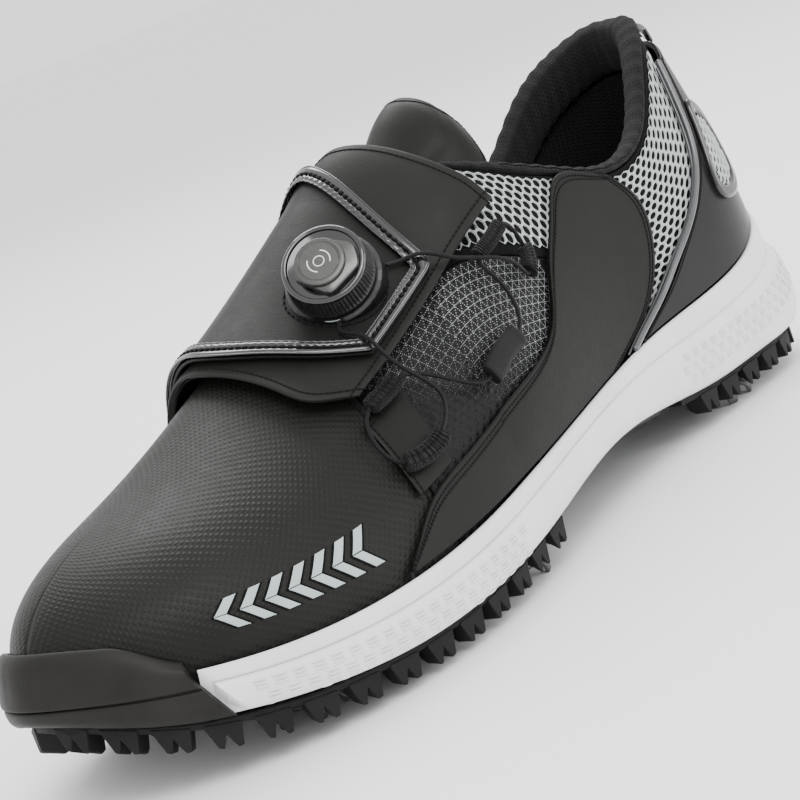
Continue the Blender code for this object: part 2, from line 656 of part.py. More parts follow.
def behind_trim(name, finish, first_down, lift, thickness, rows, columns, low, high,
                whole=False, mirror=False):
    """Panel that follows the heel trim's arc. low and high are shares beyond the arc; whole spans the heel
    from arc to arc instead."""
    steps = np.linspace(0, 1, rows + 1)[:, None]
    across = np.linspace(-1, 1, columns)[None, :]
    down = first_down + (1 - first_down) * steps + 0 * across
    for _ in range(4):
        edge = HEEL_TRIM(down)
        if whole:
            share = (edge + high) * np.sign(across) * np.abs(across) ** 1.35
        else:
            share = edge + (low + high) / 2 + (high - low) / 2 * across
        down = first_down + (rim_down(share) - first_down) * steps
    if mirror:
        share, down = -share[:, ::-1], down[:, ::-1]
    return add_sheet(name, skin(down, share, lift), thickness, finish)


def make_base_layer():
    """Panels that are sewn edge to edge and carry everything else."""
    downs = np.concatenate([-np.linspace(1, 0.12, 7), [0], np.linspace(0.12, 1, 7)])
    shares = np.concatenate([np.linspace(VAMP_START, 0.915, 8), [0.945, 0.972, 1]])
    add_sheet("vamp", skin(downs[:, None], shares[None, :], BASE_LIFT), BASE_THICK, "leather", weld=0.02 * MM)
    heel_downs = np.linspace(0.035, 1, 7)[:, None]
    add_sheet("heel_mesh", skin(heel_downs, both_sides(HEEL_SHARES)[None, :], BASE_LIFT),
              BASE_THICK, "mesh_light")
    shares = np.linspace(HEEL_MESH_END + 0.002, VAMP_START - 0.002, 11)
    for side, mirror in (("lateral", False), ("medial", True)):
        start = 0.035 + 0.017 * smooth((shares - 0.34) / 0.07) + 0.168 * smooth((shares - 0.478) / 0.05)
        split = np.full_like(shares, 0.43)
        collar = [np.column_stack([shares, start]), np.column_stack([shares, split])]
        gusset = [np.column_stack([shares, split + 0.006]), np.column_stack([shares, split * 0 + 1])]
        panel(f"collar_mesh_{side}", "mesh_light", collar, BASE_LIFT, BASE_THICK, 3, mirror)
        panel(f"side_mesh_{side}", "mesh_dark", gusset, BASE_LIFT, BASE_THICK, 4, mirror)


def make_overlays():
    """Leather quarters and heel panel, with the trim and badges at the heel."""
    quarter = [
        [(0.288, 0.035), (0.352, 0.035), (0.386, 0.25), (0.416, 0.46), (0.440, 0.62), (0.470, 0.70),
         (0.515, 0.732), (0.570, 0.735), (0.625, 0.73), (0.668, 0.74), (0.698, 0.80), (0.714, 0.845)],
        [(0.256, 0.28), (0.340, 0.32), (0.388, 0.46), (0.422, 0.62), (0.450, 0.71), (0.482, 0.76),
         (0.523, 0.78), (0.575, 0.78), (0.628, 0.775), (0.671, 0.785), (0.702, 0.825), (0.7165, 0.856)],
        [(0.292, 0.68), (0.350, 0.70), (0.394, 0.74), (0.429, 0.79), (0.458, 0.815), (0.493, 0.83),
         (0.535, 0.835), (0.585, 0.83), (0.634, 0.82), (0.675, 0.825), (0.705, 0.845), (0.719, 0.866)],
        [(0.374, RIM), (0.390, RIM), (0.412, RIM), (0.440, RIM), (0.470, RIM), (0.505, RIM),
         (0.548, RIM), (0.595, RIM), (0.640, RIM), (0.680, RIM), (0.708, RIM), (0.722, RIM)]]
    throat = [[(0.632, 0.50), (0.676, 0.50)], [(0.632, 0.715), (0.676, 0.715)]]
    for side, mirror in (("lateral", False), ("medial", True)):
        panel(f"quarter_{side}", "leather", quarter, OVERLAY_LIFT, OVERLAY_THICK, 6, mirror)
        behind_trim(f"heel_trim_{side}", "patent", 0.10, 2.8 * MM, 1.8 * MM, 8, 2, 0.004, 0.015,
                    mirror=mirror)
        make_badge(side, mirror)
    panel("throat_patch", "leather", throat, 1.7 * MM, 0.9 * MM, 3)
    behind_trim("heel_panel", "leather", 0.12, HEEL_LIFT, OVERLAY_THICK, 7, 17, 0, -0.002, whole=True)
    across = np.linspace(-1, 1, 7)[None, :]
    steps = np.linspace(0, 1, 4)[:, None]
    share = across * (0.022 + 0.026 * steps)
    strip_downs = 0.52 + (rim_down(share) - 0.52) * steps
    add_sheet("heel_strip", skin(strip_downs, share, HEEL_LIFT + 1.4 * MM), 0.9 * MM, "patent")


def make_badge(side, mirror):
    """Moulded frame round a mesh inset on the heel panel."""
    outline = np.array([(0.098, 0.27), (0.078, 0.40), (0.074, 0.52), (0.085, 0.64), (0.112, 0.685),
                        (0.142, 0.60), (0.138, 0.46), (0.117, 0.33)])
    centre = outline.mean(0)
    inner, inset = centre + (outline - centre) * 0.74, centre + (outline - centre) * 0.66
    sign = -1 if mirror else 1
    low = HEEL_LIFT + 0.5 * MM

    def ring(shape, lift):
        return skin(shape[:, 1], shape[:, 0] * sign, lift)

    count = len(outline)
    rows = [ring(outline, low), ring(outline, low + 1.2 * MM), ring(inner, low + 1.2 * MM), ring(inner, low)]
    faces = grid_faces(4, count, wrap=True)
    faces += [(3 * count + k, 3 * count + (k + 1) % count, (k + 1) % count, k) for k in range(count)]
    add_solid(f"heel_badge_frame_{side}", np.array(rows), faces, "patent")
    middle = [ring(centre[None], low)[0], ring(centre[None], low + 0.7 * MM)[0]]
    points = np.concatenate([ring(inset, low), ring(inset, low + 0.7 * MM), middle])
    faces = [(k, (k + 1) % count, count + (k + 1) % count, count + k) for k in range(count)]
    faces += [(2 * count, (k + 1) % count, k) for k in range(count)]
    faces += [(2 * count + 1, count + k, count + (k + 1) % count) for k in range(count)]
    add_solid(f"heel_badge_mesh_{side}", points, faces, "mesh_light")


def make_inside():
    """Stiffeners, lining, padded collar, tongue and pull tab."""
    add_sheet("heel_counter", skin(np.linspace(0.32, 0.93, 5)[:, None], both_sides(HEEL_SHARES[:9])[None, :],
                                   STIFFENER_LIFT), STIFFENER_THICK, "black_plastic")
    downs = np.linspace(-0.93, 0.93, 13)
    puff_shares = np.array([0.88, 0.915, 0.945, 0.972, 1])
    add_sheet("toe_puff", skin(downs[:, None], puff_shares[None, :], STIFFENER_LIFT),
              STIFFENER_THICK, "black_plastic", weld=0.02 * MM)
    shares = both_sides(np.concatenate([HEEL_SHARES, [0.36, 0.405, 0.45]]))
    start = depth_down(np.abs(shares), 15.5 * MM)
    down = start[None, :] + (0.88 - start[None, :]) * np.linspace(0, 1, 6)[:, None]
    add_sheet("lining", skin(down, shares[None, :], LINING_LIFT), LINING_THICK, "knit")
    make_collar()
    make_tongue()
    share, down = np.linspace(-0.05, 0.05, 7)[None, :], np.linspace(0.035, 0.10, 2)[:, None]
    add_sheet("heel_tab", skin(down, share, 2.6 * MM), 1.8 * MM, "patent")


def make_collar():
    """Padded roll round the ankle opening."""
    profile = [(1.0, 0.6), (-0.6, 0.5), (-1.7, -1.4), (-1.5, -4.4), (-0.2, -6.6), (4, -7.8), (9, -7.6),
               (13.3, -6.4), (13.8, -3.6), (8, -3.3), (2.4, -3.0), (1.4, -0.6)]
    shares = np.concatenate([HEEL_SHARES, [0.355, 0.389, 0.423, 0.457, 0.478]])
    rings = []
    for share in both_sides(shares):
        crest, beside = last(0.0, share), last(0.04, share)
        up = (crest - beside) / np.linalg.norm(crest - beside)
        out = face(0.04, share)
        slim = 1 - 0.45 * smooth((abs(share) - 0.33) / 0.14)
        ring = []
        for depth, lift in profile:
            inward = max(lift, -3.6) + min(lift + 3.6, 0) * slim - 0.9 * (1 - slim) / 0.45 * (depth > 2)
            if depth < 0:
                ring.append(crest - up * depth * MM + out * inward * MM)
            else:
                ring.append(skin(float(depth_down(abs(share), depth * MM)), share, inward * MM))
        rings.append(ring)
    return add_tube("collar_padding", np.array(rings), "knit")


def make_tongue():
    """Padded tongue that rises out of the opening from under the vamp."""
    along = np.array([108, 112, 117, 124, 132, 142, 155, 170, 187, 203])[::-1] * MM
    across = np.linspace(-1, 1, 9)[None, :]
    medial = np.interp(along, np.array([108, 117, 130, 150]) * MM, [0.35, 0.40, 0.24, 0.17])[:, None]
    lateral = np.interp(along, np.array([108, 117, 130, 150]) * MM, [0.27, 0.31, 0.26, 0.26])[:, None]
    rise = np.interp(along / MM, [108, 112, 118, 125, 133, 142], [9.6, 9.4, 7.6, 4.9, 2.3, 0])[:, None]
    down = np.where(across < 0, across * medial, across * lateral)
    lift = TONGUE_LIFT + rise * MM * (1 - 0.7 * np.abs(across) ** 1.9)
    points = instep(down, along[:, None] + 0 * down, lift)
    return add_sheet("tongue", points, TONGUE_THICK, "leather")


# ---------------------------------------------------------------- strap
def edge_along(table, down):
    curve = spline(table)
    return curve(down) * MM


def strap_surface(down, along, lift):
    """Instep surface, raised a little where the strap's rear edge rides over the tongue and the collar."""
    rear = 1 - smooth((along - 136 * MM) / (18 * MM))
    over = 2.2 - 0.6 * smooth(down / 0.3)
    across = smooth((down + 0.8) / 0.4) * smooth((0.47 - down) / 0.1)
    return instep(down, along, lift + over * MM * rear * across)


def band_between(down, rear, front, columns):
    steps = np.linspace(0, 1, columns)[None, :]
    along = front[:, None] + (rear - front)[:, None] * steps
    return down[:, None] + 0 * steps, along


def make_strap():
    down = np.concatenate([np.linspace(STRAP_ROOT, 0.36, 14), [0.40, 0.43, 0.455]])
    rear, front = edge_along(STRAP_REAR, down), edge_along(STRAP_FRONT, down)
    down, along = band_between(down, rear, front, 8)
    down = down + np.linspace(0, 0.012, 8)[None, :] * (down > 0.45)
    return add_sheet("strap", strap_surface(down, along, STRAP_LIFT)[:, ::-1], STRAP_THICK, "leather")


def make_patch():
    """Patch that carries the dial, and the patent trim sewn round its edge."""
    down = np.concatenate([np.linspace(-0.62, 0.36, 12), [0.395, 0.425]])
    rear, front = edge_along(TRIM_REAR, down), edge_along(TRIM_FRONT, down)
    grid = band_between(down, rear + 0.4 * MM, front - 0.4 * MM, 7)
    add_sheet("strap_patch", strap_surface(*grid, PATCH_LIFT)[:, ::-1], PATCH_THICK, "leather")
    limit = down[-1] - TRIM_DOWN
    held = np.minimum(down, limit)
    wide = TRIM_WIDE * MM
    end_outer, end_inner = [(down[-1], a * MM) for a in (167, 177)], [(limit, a * MM) for a in (168, 176)]
    outer = list(zip(down, rear)) + end_outer + list(zip(down, front))[::-1]
    inner = list(zip(held, edge_along(TRIM_REAR, held) + wide)) + end_inner
    inner += list(zip(held, edge_along(TRIM_FRONT, held) - wide))[::-1]
    pair = np.array([outer, inner])
    add_sheet("patch_trim", strap_surface(pair[..., 0], pair[..., 1], TRIM_LIFT)[::-1], TRIM_THICK, "patent")


# ---------------------------------------------------------------- dial
def dial_frame():
    """Frame on the dial's axis, 2.2 mm over the patch."""
    down, along = DIAL_PLACE
    centre = Vector(instep(down, along, PATCH_LIFT))
    side = DIAL_AXIS.cross(Vector((0, 1, 0))).normalized()
    ahead = DIAL_AXIS.cross(side)
    turn = Matrix((side, ahead, DIAL_AXIS)).transposed().to_4x4()
    return Matrix.Translation(centre + DIAL_AXIS * 2.2 * MM) @ turn


def patch_under_dial(frame):
    """Height of the patch in the dial's frame, as a quadratic in x and y fitted round the dial."""
    down, along = np.meshgrid(DIAL_PLACE[0] + np.linspace(-0.17, 0.15, 9), DIAL_PLACE[1]
                              + np.linspace(-14, 14, 9) * MM)
    world = instep(down, along, PATCH_LIFT).reshape(-1, 3)
    turn = np.array(frame.inverted())
    x, y, z = (world @ turn[:3, :3].T + turn[:3, 3]).T

    def terms(x, y):
        return np.stack([np.ones_like(x), x, y, x * x, x * y, y * y], -1)

    fitted = np.linalg.lstsq(terms(x, y), z, rcond=None)[0]
    return lambda x, y: terms(np.asarray(x, float), np.asarray(y, float)) @ fitted


def make_dial_base(frame):
    """Wedge-shaped seat: its underside follows the patch, its cup takes the spool."""
    under, segments = patch_under_dial(frame), 28
    outline = [(0, None), (4.4, None), (8.8, None), (12.9, None), (12.9, 1.3), (12.2, 2.0), (9.6, 2.0),
               (9.6, 5.6), (8.9, 5.6), (8.9, 1.0), (0, 1.0)]
    points, rings = [], []
    for radius, height in outline:
        count = segments if radius else 1
        rings.append(range(len(points), len(points) + count))
        for k in range(count):
            angle = 2 * math.pi * k / segments
            x, y = radius * MM * math.cos(angle), radius * MM * math.sin(angle)
            z = float(under(x, y)) + GAP + 0.05 * MM if height is None else height * MM
            points.append((x, y, z))
    base = add_solid("dial_base", points, ring_faces(rings, segments), "black_plastic")
    base.matrix_world = frame


def make_dial():
    """Base, spool, pawl disc, axle, knob with its cap plate and badge disc, all on one axis."""
    frame = dial_frame()
    make_dial_base(frame)
    add_turned("dial_spool", [(1.9 * MM, 1.5 * MM), (8.4 * MM, 1.5 * MM), (8.4 * MM, 2.2 * MM),
                              (5.6 * MM, 2.5 * MM), (5.6 * MM, 3.9 * MM), (8.4 * MM, 4.2 * MM),
                              (8.4 * MM, 4.9 * MM), (1.9 * MM, 4.9 * MM)], "black_plastic", frame, 20)
    add_turned("dial_pawl_disc", [(1.9 * MM, 5.95 * MM), (9.2 * MM, 5.95 * MM), (9.2 * MM, 6.8 * MM),
                                  (1.9 * MM, 6.8 * MM)], "black_plastic", frame, 20)
    axle = [(0, 1.35 * MM), (1.5 * MM, 1.35 * MM), (1.5 * MM, 7.1 * MM), (2.9 * MM, 7.1 * MM),
            (2.9 * MM, 7.7 * MM), (0, 7.7 * MM)]
    add_turned("dial_axle", axle, "steel", frame, 12)
    knob = [(0, 8.1 * MM), (9.9 * MM, 8.1 * MM), (10.2 * MM, 2.4 * MM), (KNOB_SKIRT - 0.5 * MM, 2.4 * MM),
            (KNOB_SKIRT, 3.2 * MM), (KNOB_RIM + 0.4 * MM, 9.0 * MM), (KNOB_RIM, 9.9 * MM),
            (KNOB_RIM - 0.8 * MM, 9.9 * MM), (KNOB_RIM - 1.2 * MM, 9.2 * MM), (0, 9.2 * MM)]
    add_turned("dial_knob", knob, "black_plastic", frame, 28)
    make_cap_plate(frame)
    disc = frame @ Matrix.Translation((-1.0 * MM, 0.6 * MM, 0))
    add_turned("badge_disc", [(0, 10.9 * MM), (6.0 * MM, 10.9 * MM), (6.0 * MM, 11.4 * MM),
                              (5.6 * MM, 11.7 * MM), (0, 11.7 * MM)], "grey_metal", disc, 24)


def make_cap_plate(frame):
    """Rounded three-cornered plate in the recess of the knob."""
    rings = []
    for height, scale in ((9.5, 0.97), (10.2, 1.0), (10.55, 0.95)):
        ring = []
        for k in range(30):
            angle = 2 * math.pi * k / 30
            radius = (7.9 + 1.1 * math.cos(3 * angle + 0.9)) * MM
            ring.append((radius * scale * math.cos(angle), radius * scale * math.sin(angle), height * MM))
        rings.append(ring)
    plate = add_tube("knob_cap_plate", np.array(rings), "grey_metal")
    plate.matrix_world = frame


# ---------------------------------------------------------------- lace and its guides
# Guide name, first and last point of the route inside it, and its outer width.
GUIDES = [("lace_guide_quarter_upper", 5, 7, 5.0), ("lace_guide_strap_upper", 8, 10, 4.4),
          ("lace_guide_quarter_middle", 12, 14, 6.4), ("lace_guide_strap_lower", 16, 18, 5.0),
          ("lace_guide_quarter_lower", 20, 22, 5.4)]


def lace_points():
    """Hand-chosen route of the lace: out of the dial, through the five guides and back."""
    frame = dial_frame()
    under = patch_under_dial(frame)

    def dial_exit(degrees):
        way = np.array([math.cos(math.radians(degrees)), math.sin(math.radians(degrees))])
        spots = [way * (DIAL_FLANGE + 0.5 * MM), way * (DIAL_FLANGE + 3 * MM)]
        return [np.array(frame @ Vector((*spot, float(under(*spot)) + 1.4 * MM))) for spot in spots]

    def over(down, along, lift):
        return instep(down, along * MM, lift * MM)

    def on(down, share, lift):
        return skin(down, share, lift * MM)

    route = dial_exit(LACE_EXITS[0])
    route += [over(0.39, 158, 9.6), over(0.455, 152.5, 8.0), on(0.49, 0.470, 5.4)]
    route += [on(0.505, 0.457, 3.9), on(0.455, 0.449, 3.9), on(0.415, 0.449, 4.2)]
    route += [over(0.508, 134, 4.6), over(0.508, 140, 4.6), over(0.508, 146, 4.6), on(0.505, 0.497, 4.2)]
    route += [on(0.632, 0.500, 4.0), on(0.652, 0.530, 4.0), on(0.665, 0.562, 4.0)]
    route += [on(0.60, 0.592, 3.4), over(0.50, 187, 4.4), over(0.497, 193, 4.4), over(0.492, 200, 4.4)]
    route += [on(0.56, 0.684, 3.4), on(0.625, 0.678, 3.6), on(0.652, 0.660, 3.9), on(0.648, 0.628, 3.9)]
    route += [on(0.60, 0.612, 4.6), over(0.50, 186, 7.6), over(0.44, 186.5, 9.2), over(0.385, 186, 9.2)]
    route += dial_exit(LACE_EXITS[1])[::-1]
    return np.array(route)


def lace_curve(points):
    run = chord_share(*points.T)
    curves = [spline(np.column_stack([run, column])) for column in points.T]
    return run, lambda at: np.stack([curve(at) for curve in curves], -1)


def make_lace():
    points = lace_points()
    run, curve = lace_curve(points)
    places = curve(np.linspace(0, 1, 76))
    data = bpy.data.curves.new("lace_wire", "CURVE")
    data.dimensions = "3D"
    line = data.splines.new("POLY")
    line.points.add(len(places) - 1)
    for point, place in zip(line.points, places):
        point.co = (*place, 1)
    data.bevel_depth = LACE
    data.bevel_resolution = 1
    data.use_fill_caps = True
    add_object("lace_wire", data, "wire")
    for name, first, final, width in GUIDES:
        make_guide(name, curve, run[first], run[final], width)


def make_guide(name, curve, start, end, width):
    """Webbing loop with a tunnel for the lace."""
    rings, steps, trim = [], 5, (end - start) * 0.09
    half = width / 2
    outside = ((-half, -1.4), (half, -1.4), (half, 1.0), (0, 1.7), (-half, 1.0))
    tunnel = ((-1.05, -1.0), (1.05, -1.0), (1.05, 0.9), (0, 1.2), (-1.05, 0.9))
    for at in np.linspace(start + trim, end - trim, steps):
        centre, ahead = curve(at), curve(at + 0.002) - curve(at - 0.002)
        ahead /= np.linalg.norm(ahead)
        across = np.cross(ahead, nearest_face(centre))
        across /= np.linalg.norm(across)
        out = np.cross(across, ahead)
        rings.append([centre + across * x * MM + out * z * MM for x, z in outside + tunnel])
    faces = []
    for first in (0, 5):
        for r in range(steps - 1):
            for k in range(5):
                a, b = r * 10 + first + k, r * 10 + first + (k + 1) % 5
                faces.append((a, b, b + 10, a + 10))
    for r in (0, steps - 1):
        for k in range(5):
            a, b = r * 10 + k, r * 10 + (k + 1) % 5
            faces.append((a, b, b + 5, a + 5))
    return add_solid(name, np.array(rings), faces, "webbing")


def nearest_face(point):
    """Outward normal of the lasted surface under a point on its lateral side."""
    downs, shares = np.meshgrid(np.linspace(0.2, 0.8, 31), np.linspace(0.4, 0.75, 36))
    grid = last(downs, shares)
    k = np.argmin(np.linalg.norm(grid - point, axis=-1))
    return face(downs.ravel()[k], shares.ravel()[k])


# ---------------------------------------------------------------- joints
def add_pivot(name, frame, children, parent=None):
    """Empty whose z axis is a joint's axis; what moves with it is parented to it."""
    pivot = bpy.data.objects.new(name, None)
    pivot.empty_display_size = 0.02
    bpy.context.scene.collection.objects.link(pivot)
    pivot.matrix_world = frame
    for child in children:
        child.parent = pivot
        child.matrix_parent_inverse = frame.inverted()
    if parent is not None:
        pivot.parent = parent
        pivot.matrix_parent_inverse = parent.matrix_world.inverted()
    return pivot


def frame_along(point, axis):
    return Matrix.Translation(Vector(point)) @ Vector(axis).to_track_quat("Z", "Y").to_matrix().to_4x4()


def make_joints():
    """Strap hinge, dial spool, knob lift and tongue tilt, each an empty on its axis."""
    named = bpy.data.objects
    rear, front = STRAP_HINGE
    hinge = frame_along((np.array(rear) + front) / 2, np.array(front) - rear)
    on_strap = ("strap", "strap_patch", "patch_trim", "lace_guide_strap_upper", "lace_guide_strap_lower",
                "dial_base", "dial_axle")
    strap = add_pivot("strap_hinge", hinge, [named[n] for n in on_strap])
    frame = dial_frame()
    spool = add_pivot("spool_axis", frame, [named[n] for n in ("dial_spool", "dial_pawl_disc")], strap)
    add_pivot("knob_slide", frame, [named[n] for n in ("dial_knob", "knob_cap_plate", "badge_disc")], spool)
    add_pivot("tongue_hinge", frame_along(TONGUE_HINGE, (1, 0, 0)), [named["tongue"]])


# ---------------------------------------------------------------- the shoe
def move_to_origin():
    """Put the middle of the shoe's footprint on the world origin."""
    for thing in bpy.data.objects:
        if thing.parent is None:
            thing.location += Vector((-FOOTPRINT_MIDDLE[0], -FOOTPRINT_MIDDLE[1], 0))


def main():
    clear_scene()
    make_sole()
    make_base_layer()
    make_overlays()
    make_inside()
    make_strap()
    make_patch()
    make_dial()
    make_lace()
    make_joints()
    move_to_origin()


main()
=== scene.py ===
"""Looks of the golf shoe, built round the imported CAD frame.

Metres, +Z up, ground at z = 0, toe towards -Y, lateral side towards +X. The surface functions work in the
model's own sketch frame, where "along" is the distance from the heel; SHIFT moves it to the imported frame.
"""
import math

import bmesh
import bpy
import numpy as np
from mathutils import Matrix, Vector


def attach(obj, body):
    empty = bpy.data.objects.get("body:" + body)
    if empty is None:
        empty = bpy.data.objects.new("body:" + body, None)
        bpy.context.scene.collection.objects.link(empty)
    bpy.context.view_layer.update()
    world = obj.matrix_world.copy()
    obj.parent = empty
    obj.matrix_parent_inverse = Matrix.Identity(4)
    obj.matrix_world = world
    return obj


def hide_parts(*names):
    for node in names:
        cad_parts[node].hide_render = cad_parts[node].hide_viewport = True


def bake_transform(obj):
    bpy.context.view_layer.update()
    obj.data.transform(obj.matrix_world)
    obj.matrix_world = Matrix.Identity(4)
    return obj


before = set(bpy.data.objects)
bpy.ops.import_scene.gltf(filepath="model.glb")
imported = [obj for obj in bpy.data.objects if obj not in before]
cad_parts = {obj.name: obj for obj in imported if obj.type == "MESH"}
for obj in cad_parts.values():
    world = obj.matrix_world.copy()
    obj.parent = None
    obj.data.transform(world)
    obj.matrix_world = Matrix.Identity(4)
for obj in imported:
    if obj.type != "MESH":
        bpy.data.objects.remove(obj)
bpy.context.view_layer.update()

MM = 0.001
HEEL_Y = 0.150                              # y of the place that "along" is measured from
SHIFT = np.array([-2.309, -2.497, 0]) * MM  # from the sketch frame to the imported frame
DISH, DISH_TOE = 8 * MM, 3.4 * MM           # depth of the midsole's tray, and at the toe
THROAT, TOE_CREST = 142 * MM, 255 * MM      # along of the opening's front end and of the toe cap's start
THROAT_SHARE = 0.56                         # share of the feather line that faces the throat
BUMPER_START, HEEL_MESH_END, VAMP_START = 0.887, 0.319, 0.662
SHELL = 1.4                                 # thickness in mm of the leather pieces of the upper
SIDES = (("lateral", 1), ("medial", -1))
LEATHER = "leather_black"

# Pitch, length and radius in mm of each row's stitches.
STITCHES = {
    "vamp": (1.9, 1.45, 0.22), "throat_patch": (1.5, 1.1, 0.2), "quarter": (1.25, 0.95, 0.19),
    "heel_panel": (1.1, 0.85, 0.17), "tongue": (1.5, 1.15, 0.2), "strap": (1.6, 1.25, 0.22),
    "patch_trim": (2.1, 1.7, 0.48), "dial_circle": (2.1, 1.65, 0.3),
}
# Feather line, where upper meets sole: along, lateral half width, medial half width.
FEATHER = np.array([
    (6, 0, 0), (8.5, 14, 14), (16, 24.5, 24.5), (30, 31.5, 31.5), (50, 33.5, 32.5), (80, 33.5, 29),
    (110, 35.5, 27), (140, 40, 30.5), (170, 45.5, 38), (195, 49.5, 43.5), (215, 50, 45.5),
    (237, 46.5, 44.5), (260, 37.5, 39.5), (277.5, 24, 30), (288.5, 8.5, 18.5), (293, -6, 6),
]) * MM
# Edge of the ankle opening from the back of the heel to the throat: along, half width, height.
TOPLINE = np.array([
    (13.5, 0, 113.5), (15, 7, 113.5), (21, 13.5, 111), (30, 18.5, 105), (41, 23, 95),
    (52, 26.5, 86.5), (64, 28.5, 82), (78, 29, 82), (94, 28.5, 87.5), (110, 27, 94.5),
    (122, 24, 100), (133, 18, 104.5), (140, 10, 106.5), (142, 0, 106.5),
]) * MM
# Heights above ground against along, and how far the instep's ridge lies to the lateral side.
RIM_HEIGHT = np.array([(0, 50), (12, 47), (30, 41), (60, 36.5), (90, 35), (125, 31.5), (160, 28),
                       (200, 25.2), (235, 24.5), (265, 27), (292, 32.5)]) * MM
BOTTOM_HEIGHT = np.array([(0, 17), (12, 13), (35, 12), (70, 12.5), (100, 16), (130, 17.3), (165, 13),
                          (200, 10.3), (235, 10.5), (262, 14), (285, 21), (296, 28)]) * MM
RIDGE_HEIGHT = np.array([(100, 119), (125, 112.5), (150, 102), (165, 94), (185, 83.8), (205, 74.8),
                         (225, 66.3), (245, 60.2), (260, 57.5)]) * MM
RIDGE_SIDE = np.array([(100, -4), (150, -9), (200, -12.5), (250, -12.5)]) * MM
# Spikes as (along, x), then the edges of the strap and of its trim as (down, along), all along in mm.
SPIKES = [(241, 21), (244, -25), (207, 33), (205, -29), (172, 33), (49, 20), (49, -20)]
STRAP_REAR = [(-0.8, 147), (-0.45, 141), (-0.05, 135), (0.1, 133), (0.26, 131.5), (0.39, 130), (0.468, 129.5)]
STRAP_FRONT = [(-0.8, 198), (-0.45, 203), (-0.1, 206), (0.1, 207.5), (0.28, 208.5), (0.37, 207), (0.43, 201)]
TRIM_REAR = [(-0.62, 153), (-0.3, 146), (-0.05, 142.5), (0.11, 147), (0.21, 151), (0.3, 154), (0.435, 156.5)]
TRIM_FRONT = [(-0.62, 196), (-0.3, 200.5), (-0.05, 203), (0.12, 203.5), (0.22, 201), (0.34, 195),
              (0.428, 187)]
HEEL_LIFT = 2.6                             # outer face of the heel panel over the lasted surface, in mm
STRAP_ROOT = -0.80                          # down of the strap's medial edge
PATCH_LIFT = 6.8 * MM                       # outer face of the strap's patch over the lasted surface
DIAL_PLACE = (0.265, 174.5 * MM)            # down and along of the dial on the instep
DIAL_AXIS = Vector((0.46, -0.62, 0.64)).normalized()
# On the dial, in its own frame in mm: the disc's middle and the cap plate's corners. The mark is in degrees.
DISC_MIDDLE = (0.3, 0.4)
PLATE_CORNERS = [(-3.6, -8.6), (-8.8, -4.3), (-7.2, 6.0), (4.4, 7.4), (5.6, -5.0)]
FLANGE_MARK = 118
# Camera's place, viewing direction and roll in degrees; each lamp's name, place, size and power.
CAMERA_PLACE, CAMERA_AIM, CAMERA_ROLL = (0.415521, -0.419977, 0.17535), (-0.69584, 0.686, -0.21265), -20.553
LAMPS = (("key", (0.55, -0.35, 0.95), (0.7, 0.5), 9), ("rim", (-0.5, 0.5, 0.9), (0.8, 0.35), 8),
         ("side", (0.85, 0.45, 0.35), (0.25, 0.7), 3))


# ---------------------------------------------------------------- the lasted surface
def spline(table, start=None, end=None):
    """Cubic spline through the table's rows: natural ends or the given end slopes, straight beyond them."""
    knots, values = np.asarray(table, float).T
    count, step = len(knots), np.diff(knots)
    rise = np.diff(values) / step
    system, right = np.zeros((count, count)), np.zeros(count)
    for i in range(1, count - 1):
        system[i, i - 1:i + 2] = step[i - 1], 2 * (step[i - 1] + step[i]), step[i]
        right[i] = 3 * (rise[i] - rise[i - 1])
    system[0, 0] = system[-1, -1] = 1
    if start is not None:
        system[0, :2] = 2 * step[0], step[0]
        right[0] = 3 * (rise[0] - start)
    if end is not None:
        system[-1, -2:] = step[-1], 2 * step[-1]
        right[-1] = 3 * (end - rise[-1])
    second = np.linalg.solve(system, right)
    third = np.diff(second) / (3 * step)
    first = rise - step * (2 * second[:-1] + second[1:]) / 3
    last_slope = first[-1] + 2 * second[-2] * step[-1] + 3 * third[-1] * step[-1] ** 2

    def curve(at):
        at = np.asarray(at, float)
        inside = np.clip(at, knots[0], knots[-1])
        i = np.clip(np.searchsorted(knots, inside, side="right") - 1, 0, count - 2)
        s = inside - knots[i]
        value = values[i] + first[i] * s + second[i] * s ** 2 + third[i] * s ** 3
        return value + np.minimum(at - knots[0], 0) * first[0] + np.maximum(at - knots[-1], 0) * last_slope

    return curve


def smooth(value):
    value = np.clip(value, 0, 1)
    return value * value * (3 - 2 * value)


def chord_share(*columns):
    run = np.concatenate([[0], np.cumsum(np.sqrt(sum(np.diff(c) ** 2 for c in columns)))])
    return run / run[-1]


def feather_curves():
    along, lateral, medial = FEATHER.T
    share = (chord_share(along, lateral) + chord_share(along, medial)) / 2
    columns = np.column_stack
    return (spline(columns([share, along]), 0, 0), spline(columns([share, lateral])),
            spline(columns([share, -medial])))


def topline_curves():
    along, side, height = TOPLINE.T
    share = chord_share(along, side, height)
    columns = np.column_stack
    return (spline(columns([share, along]), 0, 0), spline(columns([share, side])),
            spline(columns([share, height])))


feather_along, feather_lateral, feather_medial = feather_curves()
top_along, top_side, top_height = topline_curves()
rim_height, bottom_height = spline(RIM_HEIGHT), spline(BOTTOM_HEIGHT)
ridge_height, ridge_side = spline(RIDGE_HEIGHT), spline(RIDGE_SIDE)


def tray_depth(along):
    return DISH - (DISH - DISH_TOE) * smooth((along - 252 * MM) / (40 * MM))


def feather(side, share):
    return np.where(side > 0, feather_lateral(share), feather_medial(share)), feather_along(share)


